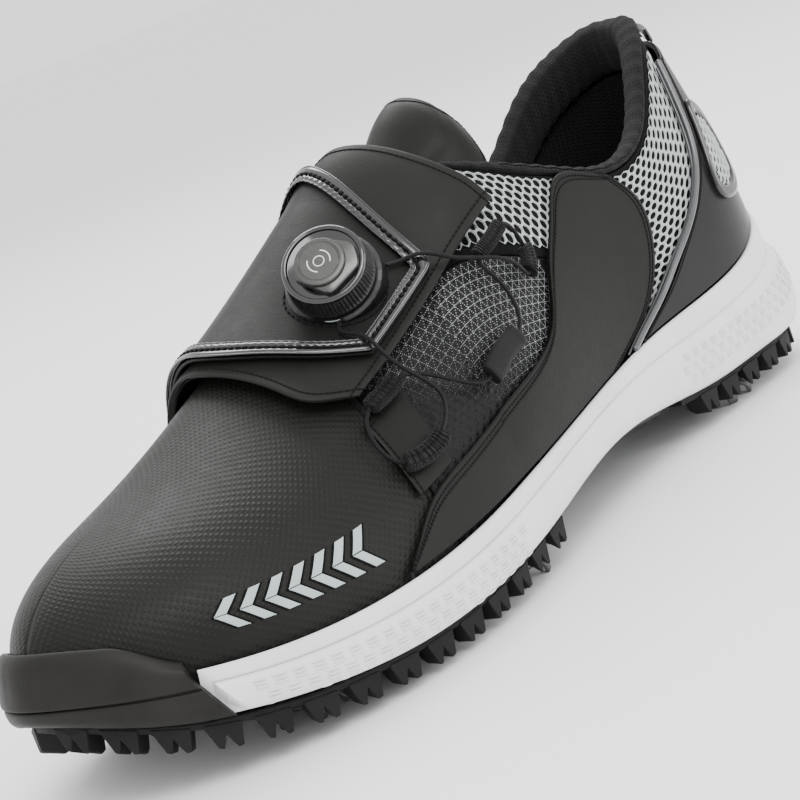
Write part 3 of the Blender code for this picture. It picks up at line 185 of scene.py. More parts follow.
def outward(side, share, step=1e-3):
    x0, a0 = feather(side, np.clip(share - step, 0, 1))
    x1, a1 = feather(side, np.clip(share + step, 0, 1))
    length = np.hypot(x1 - x0, a1 - a0)
    nx, na = (a1 - a0) / length * side, (x0 - x1) / length * side
    heel, toe = share < 1e-6, share > 1 - 1e-6
    return np.where(heel | toe, 0, nx), np.where(heel, -1, np.where(toe, 1, na))


def top_edge(side, share):
    s = np.clip(share / THROAT_SHARE, 0, 1)
    f = np.clip((share - THROAT_SHARE) / (1 - THROAT_SHARE), 0, 1)
    rear_along = top_along(s)
    medial_rise = 7 * MM * np.exp(-((rear_along - 43 * MM) / (16 * MM)) ** 2)
    rear_height = top_height(s) + np.where(side > 0, 0, medial_rise)
    crest_along = THROAT + (TOE_CREST - THROAT) * (1 - (1 - f) ** 1.9)
    rear = share < THROAT_SHARE
    x = np.where(rear, top_side(s) * side + ridge_side(rear_along) * s ** 3, ridge_side(crest_along))
    along = np.where(rear, rear_along, crest_along)
    return x, along, np.where(rear, rear_height, ridge_height(crest_along))


def last(down, share):
    """Point of the lasted surface: share 0 at the heel to 1 at the toe, lateral positive; down 0 at the
    opening or the ridge to 1 at the sole."""
    down, share = np.broadcast_arrays(np.asarray(down, float), np.asarray(share, float))
    side = np.where(share >= 0, 1.0, -1.0) * np.where(down < 0, -1, 1)
    share = np.abs(share)
    side = side * np.where(share > 1, -1, 1)
    share = np.where(share > 1, 2 - share, share)
    rise = np.clip(1 - np.abs(down), 0, 1)
    foot_x, foot_along = feather(side, share)
    foot_z = rim_height(foot_along) - tray_depth(foot_along)
    crest_x, crest_along, crest_z = top_edge(side, share)
    fore = smooth((foot_along - 85 * MM) / (80 * MM))
    toe = smooth((foot_along - 200 * MM) / (70 * MM))
    turn = rise * math.pi / 2
    inward = rise ** 1.7 * (1 - fore) + (1 - np.cos(turn) ** (2 / (1.75 + 0.85 * toe))) * fore
    climb = rise * (1 - fore) + np.sin(turn) ** (2 / (1.65 + 0.7 * toe)) * fore
    nx, na = outward(side, share)
    swell = (0.5 + 1.5 * fore) * MM * np.sin(math.pi * rise)
    x = foot_x + (crest_x - foot_x) * inward + nx * swell
    along = foot_along + (crest_along - foot_along) * inward + na * swell
    crest_z = crest_z + (ridge_height(along) - ridge_height(crest_along)) * fore
    return np.stack([x, HEEL_Y - along, foot_z + (crest_z - foot_z) * climb], -1)


def face(down, share, step=2e-3):
    def normal_at(down, share):
        across = last(down + step, share) - last(down - step, share)
        ahead = last(down, share + step) - last(down, share - step)
        normal = np.cross(ahead, across)
        return normal / np.linalg.norm(normal, axis=-1, keepdims=True)

    down, share = np.broadcast_arrays(np.asarray(down, float), np.asarray(share, float))
    near = np.sign(share) * np.minimum(np.abs(share), 0.985)
    normal = normal_at(down, near)
    both = normal + normal_at(-down, near)
    at_tip = (np.abs(share) > 0.985)[..., None]
    return np.where(at_tip, both / np.linalg.norm(both, axis=-1, keepdims=True), normal)


def skin(down, share, lift):
    return last(down, share) + face(down, share) * np.asarray(lift)[..., None]


def share_at(down, along):
    shares = np.linspace(0.45, 1.0, 221)
    down, along = np.broadcast_arrays(np.asarray(down, float), np.asarray(along, float))
    runs = HEEL_Y - last(down.reshape(-1, 1), shares)[..., 1]
    found = [np.interp(a, run, shares) for a, run in zip(along.ravel(), runs)]
    return np.reshape(found, down.shape)


def instep(down, along, lift):
    """Instep surface by distance from the heel, carried on along the ridge behind the throat."""
    down, along = np.broadcast_arrays(np.asarray(down, float), np.asarray(along, float))
    ahead = np.maximum(along, THROAT + (5 + 30 * np.abs(down)) * MM)
    point = skin(down, share_at(down, ahead), lift)
    shift = [ridge_side(along) - ridge_side(ahead), ahead - along, ridge_height(along) - ridge_height(ahead)]
    return point + np.stack(shift, -1)


def depth_down(share, depth):
    downs = np.linspace(0, 1, 81)
    points = last(downs[:, None], np.reshape(share, (1, -1)))
    steps = np.linalg.norm(np.diff(points, axis=0), axis=-1)
    run = np.vstack([np.zeros(steps.shape[1]), np.cumsum(steps, 0)])
    found = [np.interp(depth, run[:, k], downs) for k in range(run.shape[1])]
    return np.reshape(found, np.shape(share))


def rim_down(share):
    downs = np.linspace(0.6, 1, 81)
    share = np.asarray(share, float)
    points = last(downs[:, None], share.reshape(1, -1))
    spare = points[..., 2] - rim_height(HEEL_Y - points[..., 1]) - 0.7 * MM
    found = [np.interp(0, -spare[:, k], downs) for k in range(spare.shape[1])]
    return np.reshape(found, share.shape)


def strap_surface(down, along, lift):
    rear = 1 - smooth((along - 136 * MM) / (18 * MM))
    over = 2.2 - 0.6 * smooth(down / 0.3)
    across = smooth((down + 0.8) / 0.4) * smooth((0.47 - down) / 0.1)
    return instep(down, along, lift + over * MM * rear * across)


# ---------------------------------------------------------------- materials
class Shader:
    """One node material, built node by node."""

    def __init__(self, name):
        self.material = bpy.data.materials.new(name)
        self.material.use_nodes = True
        self.tree = self.material.node_tree
        self.surface = self.tree.nodes["Principled BSDF"]
        self.coords = self.tree.nodes.new("ShaderNodeTexCoord")

    def feed(self, socket, value):
        if isinstance(value, bpy.types.NodeSocket):
            self.tree.links.new(value, socket)
        else:
            socket.default_value = value

    def node(self, kind, inputs, **settings):
        node = self.tree.nodes.new("ShaderNode" + kind)
        for key, value in settings.items():
            setattr(node, key, value)
        for key, value in inputs.items():
            self.feed(node.inputs[key], value)
        return node.outputs[0]

    def math(self, operation, a, b=0.0, clamp=False):
        return self.node("Math", {0: a, 1: b}, operation=operation, use_clamp=clamp)

    def noise(self, scale, detail=3.0, rough=0.55, vector=None):
        vector = vector or self.coords.outputs["Object"]
        return self.node("TexNoise", {"Vector": vector, "Scale": scale, "Detail": detail, "Roughness": rough})

    def ramp(self, value, low, high):
        """Black up to one value, white from another."""
        node = self.tree.nodes.new("ShaderNodeValToRGB")
        self.tree.links.new(value, node.inputs[0])
        node.color_ramp.elements[0].position, node.color_ramp.elements[1].position = low, high
        return node.outputs[0]

    def tone(self, factor, colour, dark, light):
        """Colour that swings between a darker and a lighter share of itself."""
        shades = [(*(c * share for c in colour), 1) for share in (dark, light)]
        return self.node("MixRGB", {0: factor, 1: shades[0], 2: shades[1]})

    def between(self, value, low, high, start=0.0, end=1.0):
        return self.node("MapRange", {0: value, 1: start, 2: end, 3: low, 4: high})

    def uv(self):
        split = self.tree.nodes.new("ShaderNodeSeparateXYZ")
        self.tree.links.new(self.coords.outputs["UV"], split.inputs[0])
        return split.outputs[0], split.outputs[1]

    def bump(self, height, distance, strength=1.0, below=None):
        inputs = {"Height": height, "Distance": distance * MM, "Strength": strength}
        return self.node("Bump", inputs if below is None else {**inputs, "Normal": below})

    def finish(self, **values):
        for key, value in values.items():
            self.feed(self.surface.inputs[key.replace("_", " ")], value)
        return self.material

    def dots(self, pitch, turn):
        """Round dots on a square lattice in the sheet's own millimetres, 1 in the middle of a dot."""
        u, v = self.uv()
        c, s = math.cos(turn) / pitch, math.sin(turn) / pitch
        a = self.math("ADD", self.math("MULTIPLY", u, c), self.math("MULTIPLY", v, s))
        b = self.math("SUBTRACT", self.math("MULTIPLY", v, c), self.math("MULTIPLY", u, s))
        waves = [self.math("COSINE", self.math("MULTIPLY", x, 2 * math.pi)) for x in (a, b)]
        return self.node("MapRange", {0: self.math("ADD", *waves), 1: -0.2, 2: 1.7},
                         interpolation_type="SMOOTHSTEP")


def leather(name, colour, rough, dots=None, grain=0.05, coat=0.0):
    """Synthetic leather: fine pebble grain, cloudy tone and, where asked for, an embossed dot grid."""
    s = Shader(name)
    cloud, fine, wear = s.noise(38, 4), s.noise(900, 3, 0.6), s.noise(240, 5, 0.7)
    pebble = s.node("TexVoronoi", {"Vector": s.coords.outputs["Object"], "Scale": 1500.0}, feature="F1")
    normal = s.bump(fine, 0.04, 0.4, s.bump(pebble, grain, 0.5))
    if dots:
        pitch, turn, height = dots
        normal = s.bump(s.dots(pitch, turn), height, 0.9, normal)
    uneven = s.math("ADD", s.math("MULTIPLY", cloud, 0.5), s.math("MULTIPLY", wear, 0.5))
    return s.finish(Base_Color=s.tone(s.ramp(cloud, 0.3, 0.72), colour, 0.88, 1.192), Normal=normal,
                    Roughness=s.between(uneven, rough - 0.07, rough + 0.09, 0.3, 0.7),
                    Specular_IOR_Level=0.12, Coat_Weight=coat, Coat_Roughness=0.12)


def patent(name, colour, rough=0.1, ripple=0.10):
    """Glossy moulded film with faint ripples and dust."""
    s = Shader(name)
    wave, dust = s.noise(150, 2, 0.5), s.noise(1400, 2)
    return s.finish(Base_Color=s.tone(s.ramp(wave, 0.35, 0.7), colour, 0.8, 1),
                    Roughness=s.between(dust, rough, rough + 0.14, 0.35, 0.75),
                    Normal=s.bump(wave, ripple, 0.6), Coat_Weight=0.6, Coat_Roughness=0.06)


def woven(name, colour, pitch_u, pitch_v, height, rough, sheen, relief_shading=0.55):
    """Plain weave in the sheet's own millimetres: warp and weft that pass over each other, coloured lighter
    on the thread crests and darker in the gaps between threads as painted highlight and painted shade.
    """
    s = Shader(name)
    waves = [s.math("SINE", s.math("MULTIPLY", x, math.pi / pitch))
             for x, pitch in zip(s.uv(), (pitch_u, pitch_v))]
    threads = s.math("MULTIPLY", *(s.math("ABSOLUTE", wave) for wave in waves))
    over = s.between(s.math("MULTIPLY", *waves), 0, 1, -0.5, 0.5)
    shape = s.math("MULTIPLY", threads, s.math("ADD", s.math("MULTIPLY", over, 0.5), 0.5))
    fuzz = s.noise(2600, 3, 0.7)
    # Colour follows the relief: painted highlight on the thread crests, painted shade in the gaps between
    # threads.
    factor = s.math("MULTIPLY", shape, 1.0, clamp=True)
    return s.finish(Base_Color=s.tone(factor, colour, 1 - relief_shading, 1 + relief_shading),
                    Normal=s.bump(s.math("ADD", shape, s.math("MULTIPLY", fuzz, 0.3)), height),
                    Roughness=s.between(fuzz, rough - 0.06, rough + 0.1),
                    Sheen_Weight=sheen, Sheen_Roughness=0.5, Specular_IOR_Level=0.14)


def knit(name, colour, scale=1.0):
    """Fine rib knit with chevron loops in the sheet's own millimetres, coloured lighter on the loops' crests
    and darker in the grooves as painted highlight and painted shade.
    """
    s = Shader(name)
    u, v = s.uv()
    rib = s.math("PINGPONG", s.math("MULTIPLY", u, 1 / (0.8 * scale)), 1.0)
    tilt = s.math("ADD", s.math("MULTIPLY", v, 1 / (0.9 * scale)), s.math("MULTIPLY", rib, 0.7))
    loop = s.math("ABSOLUTE", s.math("SINE", s.math("MULTIPLY", tilt, math.pi)))
    shape = s.math("MULTIPLY", loop, s.math("POWER", s.math("SINE", s.math("MULTIPLY", rib, math.pi)), 0.5))
    fuzz = s.noise(2200, 4, 0.7)
    # Colour follows the loop relief: painted highlight on the crests, painted shade in the grooves.
    factor = s.math("ADD", s.math("MULTIPLY", shape, 0.8), s.math("MULTIPLY", fuzz, 0.3), clamp=True)
    return s.finish(Base_Color=s.tone(factor, colour, 0.3, 1.7), Roughness=s.between(fuzz, 0.78, 0.95),
                    Normal=s.bump(s.math("ADD", shape, s.math("MULTIPLY", fuzz, 0.4)), 0.25),
                    Sheen_Weight=0.05, Specular_IOR_Level=0.14)


def foam(name):
    """Moulded white foam: nearly even, with a very fine skin."""
    s = Shader(name)
    cloud, grain = s.ramp(s.noise(55, 3), 0.3, 0.75), s.noise(1600, 3, 0.65)
    tone = s.node("MixRGB", {0: cloud, 1: (0.70, 0.705, 0.715, 1), 2: (0.78, 0.785, 0.79, 1)})
    return s.finish(Base_Color=tone, Normal=s.bump(grain, 0.05, 0.5), Roughness=s.between(grain, 0.42, 0.58),
                    Subsurface_Weight=0.03, Subsurface_Radius=(0.004, 0.004, 0.004))


def rubber(name, colour, rough=0.58, grain=0.12):
    s = Shader(name)
    cloud, fine = s.noise(60, 4), s.noise(1300, 4, 0.7)
    return s.finish(Base_Color=s.tone(s.ramp(cloud, 0.3, 0.75), colour, 0.8, 1.35),
                    Normal=s.bump(fine, grain, 0.5), Roughness=s.between(fine, rough - 0.08, rough + 0.12),
                    Specular_IOR_Level=0.14)


def plastic(name, colour, rough, grain=0.02, metal=0.0, coat=0.0):
    s = Shader(name)
    cloud, fine = s.noise(120, 3), s.noise(2400, 3, 0.6)
    return s.finish(Base_Color=s.tone(cloud, colour, 0.82, 1.15), Normal=s.bump(fine, grain, 0.5),
                    Roughness=s.between(fine, max(rough - 0.05, 0.03), rough + 0.08, 0.3, 0.7),
                    Metallic=metal, Coat_Weight=coat, Coat_Roughness=0.08)


def brushed(name, colour, rough=0.3):
    """Brushed lacquer with fine streaks one way."""
    s = Shader(name)
    stretch = s.node("Mapping", {"Vector": s.coords.outputs["Object"], "Scale": (60.0, 5200.0, 60.0),
                                 "Rotation": (0.0, 0.0, 0.5)})
    streak = s.noise(1.0, 4, 0.7, stretch)
    return s.finish(Base_Color=s.tone(s.ramp(streak, 0.3, 0.75), colour, 0.75, 1.2),
                    Roughness=s.between(streak, rough - 0.08, rough + 0.12),
                    Normal=s.bump(streak, 0.015, 0.6), Metallic=0.75, Coat_Weight=0.4, Coat_Roughness=0.15)


def smoky(name, colour):
    """Smoky translucent soft plastic."""
    s = Shader(name)
    cloud = s.noise(300, 3)
    return s.finish(Base_Color=s.tone(cloud, colour, 0.6, 1.5), Roughness=s.between(cloud, 0.18, 0.36),
                    Normal=s.bump(cloud, 0.08, 0.4), Transmission_Weight=0.45, IOR=1.45)


MAT = {
    "vamp": leather("vamp_leather", (0.0095, 0.0095, 0.0085), 0.42, dots=(1.6, 0.78, 0.10)),
    "smooth": leather("smooth_leather", (0.0080, 0.0080, 0.0072), 0.42),
    "satin": leather("satin_leather", (0.0070, 0.0070, 0.0068), 0.30, grain=0.02, coat=0.12),
    "strap": leather("strap_leather", (0.0110, 0.0110, 0.0100), 0.46),
    "patch": leather("patch_leather", (0.0075, 0.0075, 0.0070), 0.43),
    "edge": leather("cut_edge", (0.022, 0.022, 0.021), 0.62, grain=0.12),
    "patent": patent("patent_film", (0.012, 0.012, 0.013)),
    "smoke": patent("smoke_piping", (0.055, 0.058, 0.062), 0.12, 0.05),
    "glossy": patent("glossy_moulding", (0.004, 0.004, 0.0045), 0.08, 0.03),
    "thread": woven("thread", (0.004, 0.004, 0.004), 0.3, 0.3, 0.05, 0.55, 0.02),
    # Near-black: painted shade of the needle holes between stitches; the printed marks' dark borders use it
    # too.
    "hole": rubber("needle_hole", (0.003, 0.003, 0.003), 0.9),
    "mesh_side": leather("side_mesh_film", (0.0065, 0.0065, 0.0072), 0.40, dots=(2.5, 0.62, 0.2)),
    "mesh_base": woven("mesh_backing", (0.0035, 0.0035, 0.004), 0.55, 0.55, 0.14, 0.9, 0.02),
    "net": woven("net_thread", (0.46, 0.48, 0.485), 0.35, 0.35, 0.06, 0.6, 0.1, 0.2),
    "silver": plastic("silver_print", (0.30, 0.31, 0.315), 0.4, metal=0.3),
    "knit": knit("collar_knit", (0.0055, 0.0055, 0.006)),
    "lining": knit("lining_knit", (0.0040, 0.0040, 0.0045), 1.3),
    "webbing": woven("webbing_tape", (0.0095, 0.0095, 0.0098), 0.75, 0.9, 0.35, 0.7, 0.05, 0.9),
    "tape": woven("smooth_tape", (0.0060, 0.0060, 0.0062), 0.35, 2.4, 0.05, 0.5, 0.04, 0.3),
    "foam": foam("white_foam"),
    "rubber": rubber("black_rubber", (0.0085, 0.0085, 0.0082)),
    "bumper": rubber("bumper_rubber", (0.0130, 0.0125, 0.0115), 0.48, 0.10),
    "spike": smoky("smoky_spike", (0.10, 0.10, 0.10)),
    "black": plastic("black_plastic", (0.0050, 0.0050, 0.0055), 0.32),
    "knob": plastic("knob_rubber", (0.0065, 0.0065, 0.0062), 0.45, 0.05),
    "gloss": plastic("gloss_black", (0.0025, 0.0025, 0.003), 0.08, 0.004, coat=0.8),
    "plate": brushed("cap_lacquer", (0.075, 0.075, 0.072)),
    "disc": brushed("disc_lacquer", (0.065, 0.065, 0.063), 0.34),
    "print": plastic("grey_print", (0.34, 0.40, 0.395), 0.42),
    "white_mark": plastic("white_mark", (0.75, 0.75, 0.74), 0.4),
    "steel": plastic("steel_pin", (0.55, 0.55, 0.56), 0.25, metal=1.0),
    "board": rubber("fibre_board", (0.30, 0.26, 0.20), 0.8, 0.2),
    "wire": woven("lace_braid", (0.006, 0.006, 0.0065), 0.35, 0.5, 0.08, 0.35, 0.02, 0.7),
}


# ---------------------------------------------------------------- mesh helpers
def add_mesh(name, points, faces, material, body, slot, replaces=(), uv=None, flat=False, sharp=None):
    """Mesh object from points in the sketch frame that rides on a body."""
    points = np.asarray(points, float).reshape(-1, 3) + SHIFT
    mesh = bpy.data.meshes.new(name)
    mesh.from_pydata(points.tolist(), [], [tuple(int(i) for i in f) for f in faces])
    mesh.update()
    if uv is not None:
        layer = mesh.uv_layers.new(name="UVMap")
        loops = np.empty(len(mesh.loops), np.int32)
        mesh.loops.foreach_get("vertex_index", loops)
        layer.data.foreach_set("uv", np.asarray(uv, np.float32).reshape(-1, 2)[loops].ravel())
    if not flat:
        mesh.shade_smooth()
        if sharp:
            mesh.set_sharp_from_angle(angle=math.radians(sharp))
    thing = bpy.data.objects.new(name, mesh)
    thing.data.materials.append(MAT[material])
    bpy.context.scene.collection.objects.link(thing)
    if body:
        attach(thing, body)
    if replaces:
        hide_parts(*replaces)
    return thing


def unit(vectors):
    return vectors / np.linalg.norm(vectors, axis=-1, keepdims=True)


def run_along(line):
    """Distance run at each point of a line."""
    return np.concatenate([[0], np.cumsum(np.linalg.norm(np.diff(line, axis=0), axis=1))])


def ring_angles(count):
    return 2 * np.pi * np.arange(count) / count


def grid_faces(rows, columns, wrap=False):
    last_column = columns if wrap else columns - 1
    return [(r * columns + c, r * columns + (c + 1) % columns,
             (r + 1) * columns + (c + 1) % columns, (r + 1) * columns + c)
            for r in range(rows - 1) for c in range(last_column)]


def tube_faces(rings, around):
    """Faces of a tube made of rings, with a cap at both ends."""
    caps = [tuple(range(around))[::-1], tuple(range((rings - 1) * around, rings * around))]
    return grid_faces(rings, around, wrap=True) + caps


def closed_curve(outline, count):
    """Smooth closed curve through an outline's points."""
    closed = np.vstack([outline[-3:], outline, outline[:3]])
    stations = np.arange(len(closed)) - 3.0
    where = np.linspace(0, len(outline), count + 1)[:-1]
    return np.column_stack([spline(np.column_stack([stations, c]))(where) for c in closed.T])


def edge_steps(count, close=(0.0015, 0.005, 0.012)):
    """Parameters from 0 to 1 with extra stations near both ends."""
    middle = np.linspace(0, 1, count)[1:-1]
    middle = middle[(middle > close[-1] * 1.5) & (middle < 1 - close[-1] * 1.5)]
    close = np.array(close)
    return np.concatenate([[0], close, middle, 1 - close[::-1], [1]])


class Sheet:
    """Grid of points with its normals and the distances run along it, in metres."""

    def __init__(self, points):
        self.points = points
        down, across = np.gradient(points, axis=0), np.gradient(points, axis=1)
        normal = np.cross(across, down)
        self.normals = normal / np.maximum(np.linalg.norm(normal, axis=-1, keepdims=True), 1e-12)
        rows = np.linalg.norm(np.diff(points, axis=0), axis=-1)
        columns = np.linalg.norm(np.diff(points, axis=1), axis=-1)
        self.v = np.vstack([np.zeros((1, rows.shape[1])), np.cumsum(rows, 0)])
        self.u = np.hstack([np.zeros((columns.shape[0], 1)), np.cumsum(columns, 1)])

    def outward_from(self, reference):
        if np.sum(self.normals * reference) < 0:
            self.normals = -self.normals
        return self

    def distance(self, side):
        """Distance of every point from the top, bottom, left or right side."""
        return {"t": self.v, "b": self.v[-1:] - self.v, "l": self.u, "r": self.u[:, -1:] - self.u}[side]

    def roll_edges(self, radius, sides="tblr"):
        """Let the surface fall away over a radius in mm along some of its sides."""
        radius = radius * MM
        near = np.clip(np.min([self.distance(side) for side in sides], axis=0) / radius, 0, 1)
        drop = radius * (1 - np.sqrt(np.maximum(1 - (1 - near) ** 2, 0)))
        self.points = self.points - self.normals * drop[..., None] * 0.9
        return self

    def uv(self):
        return np.stack([self.u, self.v - self.v[len(self.v) // 2]], -1) / MM

    def path(self, side, inset, start=0.0, end=1.0):
        """Line that runs at an inset in mm from one side of the sheet, with its normals."""
        grids = [self.distance(side), self.points, self.normals]
        if side in "tb":
            grids = [grid.swapaxes(0, 1) for grid in grids]
        points, normals = [], []
        for distance, line, normal in zip(*grids):
            order = np.argsort(distance)
            for found, values in ((points, line), (normals, normal)):
                found.append([np.interp(inset * MM, distance[order], values[order, k]) for k in range(3)])
        first, final = int(start * (len(points) - 1)), int(math.ceil(end * (len(points) - 1)))
        return np.array(points)[first:final + 1], unit(np.array(normals))[first:final + 1]


def add_sheet(name, sheet, thickness, material, body, slot, replaces=()):
    """Sheet with a thickness in mm below its outer face."""
    faces = np.array(grid_faces(*sheet.points.shape[:2]))
    a, b, c = (sheet.points.reshape(-1, 3)[faces[:, i]] for i in (0, 1, 2))
    if np.sum(np.cross(b - a, c - b) * sheet.normals.reshape(-1, 3)[faces[:, 0]]) < 0:
        faces = faces[:, ::-1]
    thing = add_mesh(name, sheet.points, faces, material, body, slot, replaces, sheet.uv())
    solidify = thing.modifiers.new("Thickness", "SOLIDIFY")
    solidify.thickness = thickness * MM
    solidify.offset = -1
    solidify.use_rim = True
    return thing


def resample(path, normals, pitch):
    """Points at an even pitch along a path, with their normals and directions."""
    run = run_along(path)
    count = max(int(run[-1] / pitch), 2)
    at = (np.arange(count) + 0.5) * run[-1] / count

    def read(values, where):
        return np.stack([np.interp(where, run, values[:, k]) for k in range(3)], -1)

    normal = unit(read(normals, at))
    ahead = read(path, np.minimum(at + pitch / 4, run[-1])) - read(path, np.maximum(at - pitch / 4, 0))
    ahead -= normal * np.sum(ahead * normal, 1, keepdims=True)
    return read(path, at), normal, ahead / np.maximum(np.linalg.norm(ahead, axis=1, keepdims=True), 1e-9)


def capsules(points, normal, ahead, length, radius, flat=1.0, sides=6):
    """Mesh data of short rounded pieces that lie on a surface."""
    rings = [(-0.42, 0.62), (-0.2, 1.0), (0.2, 1.0), (0.42, 0.62)]
    faces = []
    for k in range(sides):
        after, end = (k + 1) % sides, 1 + 3 * sides
        faces.append((0, 1 + after, 1 + k))
        for low in range(1, end, sides):
            faces.append((low + k, low + after, low + sides + after, low + sides + k))
        faces.append((end + k, end + after, end + sides))
    pieces = []
    for p, n, a, x in zip(points, normal, ahead, np.cross(normal, ahead)):
        verts = [p - a * 0.5 * length]
        for t, r in rings:
            for angle in ring_angles(sides):
                offset = x * math.cos(angle) + n * math.sin(angle) * flat
                verts.append(p + a * t * length + offset * r * radius)
        pieces.append((verts + [p + a * 0.5 * length], faces))
    return gather(pieces)


def gather(parts):
    verts, faces = [], []
    for v, f in parts:
        start = len(verts)
        verts.extend(v)
        faces.extend(tuple(i + start for i in face_) for face_ in f)
    return verts, faces


def add_stitches(name, paths, body, size, slot=LEATHER):
    """Rows of stitches, with a flat dark patch between each two as the painted shade of a needle hole; size
    is pitch, length and radius in mm.
    """
    pitch, length, radius = (value * MM for value in size)
    threads, hole_shades = [], []
    for path, normals in paths:
        points, normal, ahead = resample(path, normals, pitch)
        threads.append(capsules(points + normal * radius * 0.25, normal, ahead, length, radius))
        between = points + ahead * pitch / 2
        # Flat near-black patch on the surface: painted shade of a needle hole, not a cut hole.
        hole_shades.append(capsules(between + normal * 0.02 * MM, normal, ahead, 0.75 * MM, 0.34 * MM, 0.35))
    verts, faces = gather(threads)
    add_mesh(name, verts, faces, "thread", body, slot, uv=np.array(verts)[:, :2] / MM)
    add_mesh(name + "_holes", *gather(hole_shades), "hole", body, slot)


def add_tube(name, path, radius, material, body, slot, sides=10, normals=None, closed=False, replaces=()):
    """Tube along a path, with domed ends unless it is closed; its radius is in mm."""
    path, radius = np.asarray(path, float), radius * MM
    ahead = unit(np.roll(path, -1, 0) - np.roll(path, 1, 0) if closed else np.gradient(path, axis=0))
    if normals is None:
        normal, normals = np.cross(ahead[0], (0.3, 0.2, 0.9)), []
        for a in ahead:
            normal = unit(normal - a * np.dot(normal, a))
            normals.append(normal)
    normals = np.asarray(normals)
    across = unit(np.cross(normals, ahead))
    stations = [(i, 1.0, 0.0) for i in range(len(path))]
    if not closed:
        stations = [(0, 0.35, -0.8), (0, 0.75, -0.5)] + stations + [(-1, 0.75, 0.5), (-1, 0.35, 0.8)]
    verts, uv, run = [], [], run_along(path)
    for i, scale, beyond in stations:
        for angle in ring_angles(sides):
            offset = across[i] * math.cos(angle) + normals[i] * math.sin(angle)
            verts.append(path[i] + offset * radius * scale + ahead[i] * beyond * radius)
            uv.append((angle * radius / MM, run[i] / MM))
    faces = tube_faces(len(stations), sides)
    if closed:
        top = (len(stations) - 1) * sides
        faces[-2:] = [(top + k, top + (k + 1) % sides, (k + 1) % sides, k) for k in range(sides)]
    return add_mesh(name, verts, faces, material, body, slot, replaces, uv)


def lay(down, share, lift):
    """Sheet over the lasted surface, at a lift in mm."""
    down, share = np.broadcast_arrays(np.asarray(down, float), np.asarray(share, float))
    return Sheet(skin(down, share, lift * MM)).outward_from(face(down, share))


def lay_over(points):
    """Sheet over the instep, whose outside faces away from the foot's middle."""
    middle = np.array([-6 * MM, 0, 50 * MM])
    return Sheet(points).outward_from((points - middle) * [1, 0, 1])


def along_table(table, where):
    table = np.asarray(table, float)
    stations = np.linspace(0, 1, len(table))
    return np.column_stack([spline(np.column_stack([stations, c]))(where) for c in table.T])


def rails_grid(rails, rows, columns, sign=1, to_rim=True):
    """Fine grid of (down, share) between rails of (share, down); the last rail may run along the sole."""
    across, stops, where = edge_steps(columns), np.linspace(0, 1, len(rails)), edge_steps(rows)
    lines = np.array([along_table(rail, across) for rail in rails])
    if to_rim:
        lines[-1, :, 1] = rim_down(lines[-1, :, 0] * sign)
    grid = np.empty((len(where), len(across), 2))
    for c in range(len(across)):
        for k in range(2):
            grid[:, c, k] = (spline(np.column_stack([stops, lines[:, c, k]]))(where) if len(rails) > 2
                             else lines[0, c, k] + (lines[1, c, k] - lines[0, c, k]) * where)
    return grid[..., 1], grid[..., 0] * sign


def arc_grid(first_down, rows, columns, low, high, whole=False, sign=1):
    """Grid that follows the heel trim's arc, as the frame's heel pieces do."""
    steps, across = edge_steps(rows)[:, None], (edge_steps(columns) * 2 - 1)[None, :]
    down = first_down + (1 - first_down) * steps + 0 * across
    for _ in range(4):
        edge = HEEL_TRIM(down)
        if whole:
            share = (edge + high) * np.sign(across) * np.abs(across) ** 1.35
        else:
            share = edge + (low + high) / 2 + (high - low) / 2 * across
        down = first_down + (rim_down(share) - first_down) * steps
    return down, share * sign


def drop(points, sheet):
    """Nearest places on a sheet, with the normals there."""
    base, normals = sheet.points.reshape(-1, 3), sheet.normals.reshape(-1, 3)
    nearest = [np.argmin(np.sum((base - p) ** 2, 1)) for p in points]
    normal = normals[nearest]
    return points - normal * np.sum((points - base[nearest]) * normal, 1, keepdims=True), normal


def honeycomb(name, node, place, width, height, pitch, keep, hole=0.36, rise=0.3):
    """Net of rounded hexagonal cells; place maps millimetres and a lift to points."""
    row_step = pitch * math.sqrt(3) / 2
    angles = np.arange(12) * math.pi / 6 + math.pi / 6
    corner = np.where(np.arange(12) % 2 == 0, pitch / math.sqrt(3), pitch / 2)
    bore = np.full(12, hole * pitch)
    rings = ((corner, rise), (corner * 0.6 + bore * 0.4, rise * 0.9),
             (corner * 0.2 + bore * 0.8, 0.35 * rise), (bore, -0.25))
    centres = [(c * pitch + (r % 2) * pitch / 2, r * row_step)
               for r in range(int(height / row_step) + 1) for c in range(int(width / pitch) + 1)]
    spots = [(cu + radius * np.cos(angles), cv + radius * np.sin(angles), np.full(12, level * MM))
             for cu, cv in centres if keep(cu, cv) for radius, level in rings]
    u, v, lift = (np.concatenate(column) for column in zip(*spots))
    cell = grid_faces(len(rings), 12, wrap=True)
    faces = [tuple(start + i for i in f) for start in range(0, len(u), 12 * len(rings)) for f in cell]
    add_mesh(name, place(u, v, lift), faces, "net", "shoe", "mesh_silver", [node], np.column_stack([u, v]))


def domes(name, points, normals, radius, sides=6):
    """Small raised dots on a surface."""
    pieces = []
    for p, n, r in zip(points, normals, radius):
        across = unit(np.cross(n, (0.31, 0.77, 0.55)))
        other = np.cross(n, across)
        foot = [p + (across * math.cos(angle) + other * math.sin(angle)) * r - n * 0.02 * MM
                for angle in ring_angles(sides)]
        pieces.append(([p + n * r * 0.5] + foot, [(0, 1 + k, 1 + (k + 1) % sides) for k in range(sides)]))
    add_mesh(name, *gather(pieces), "silver", "shoe", "mesh_silver")


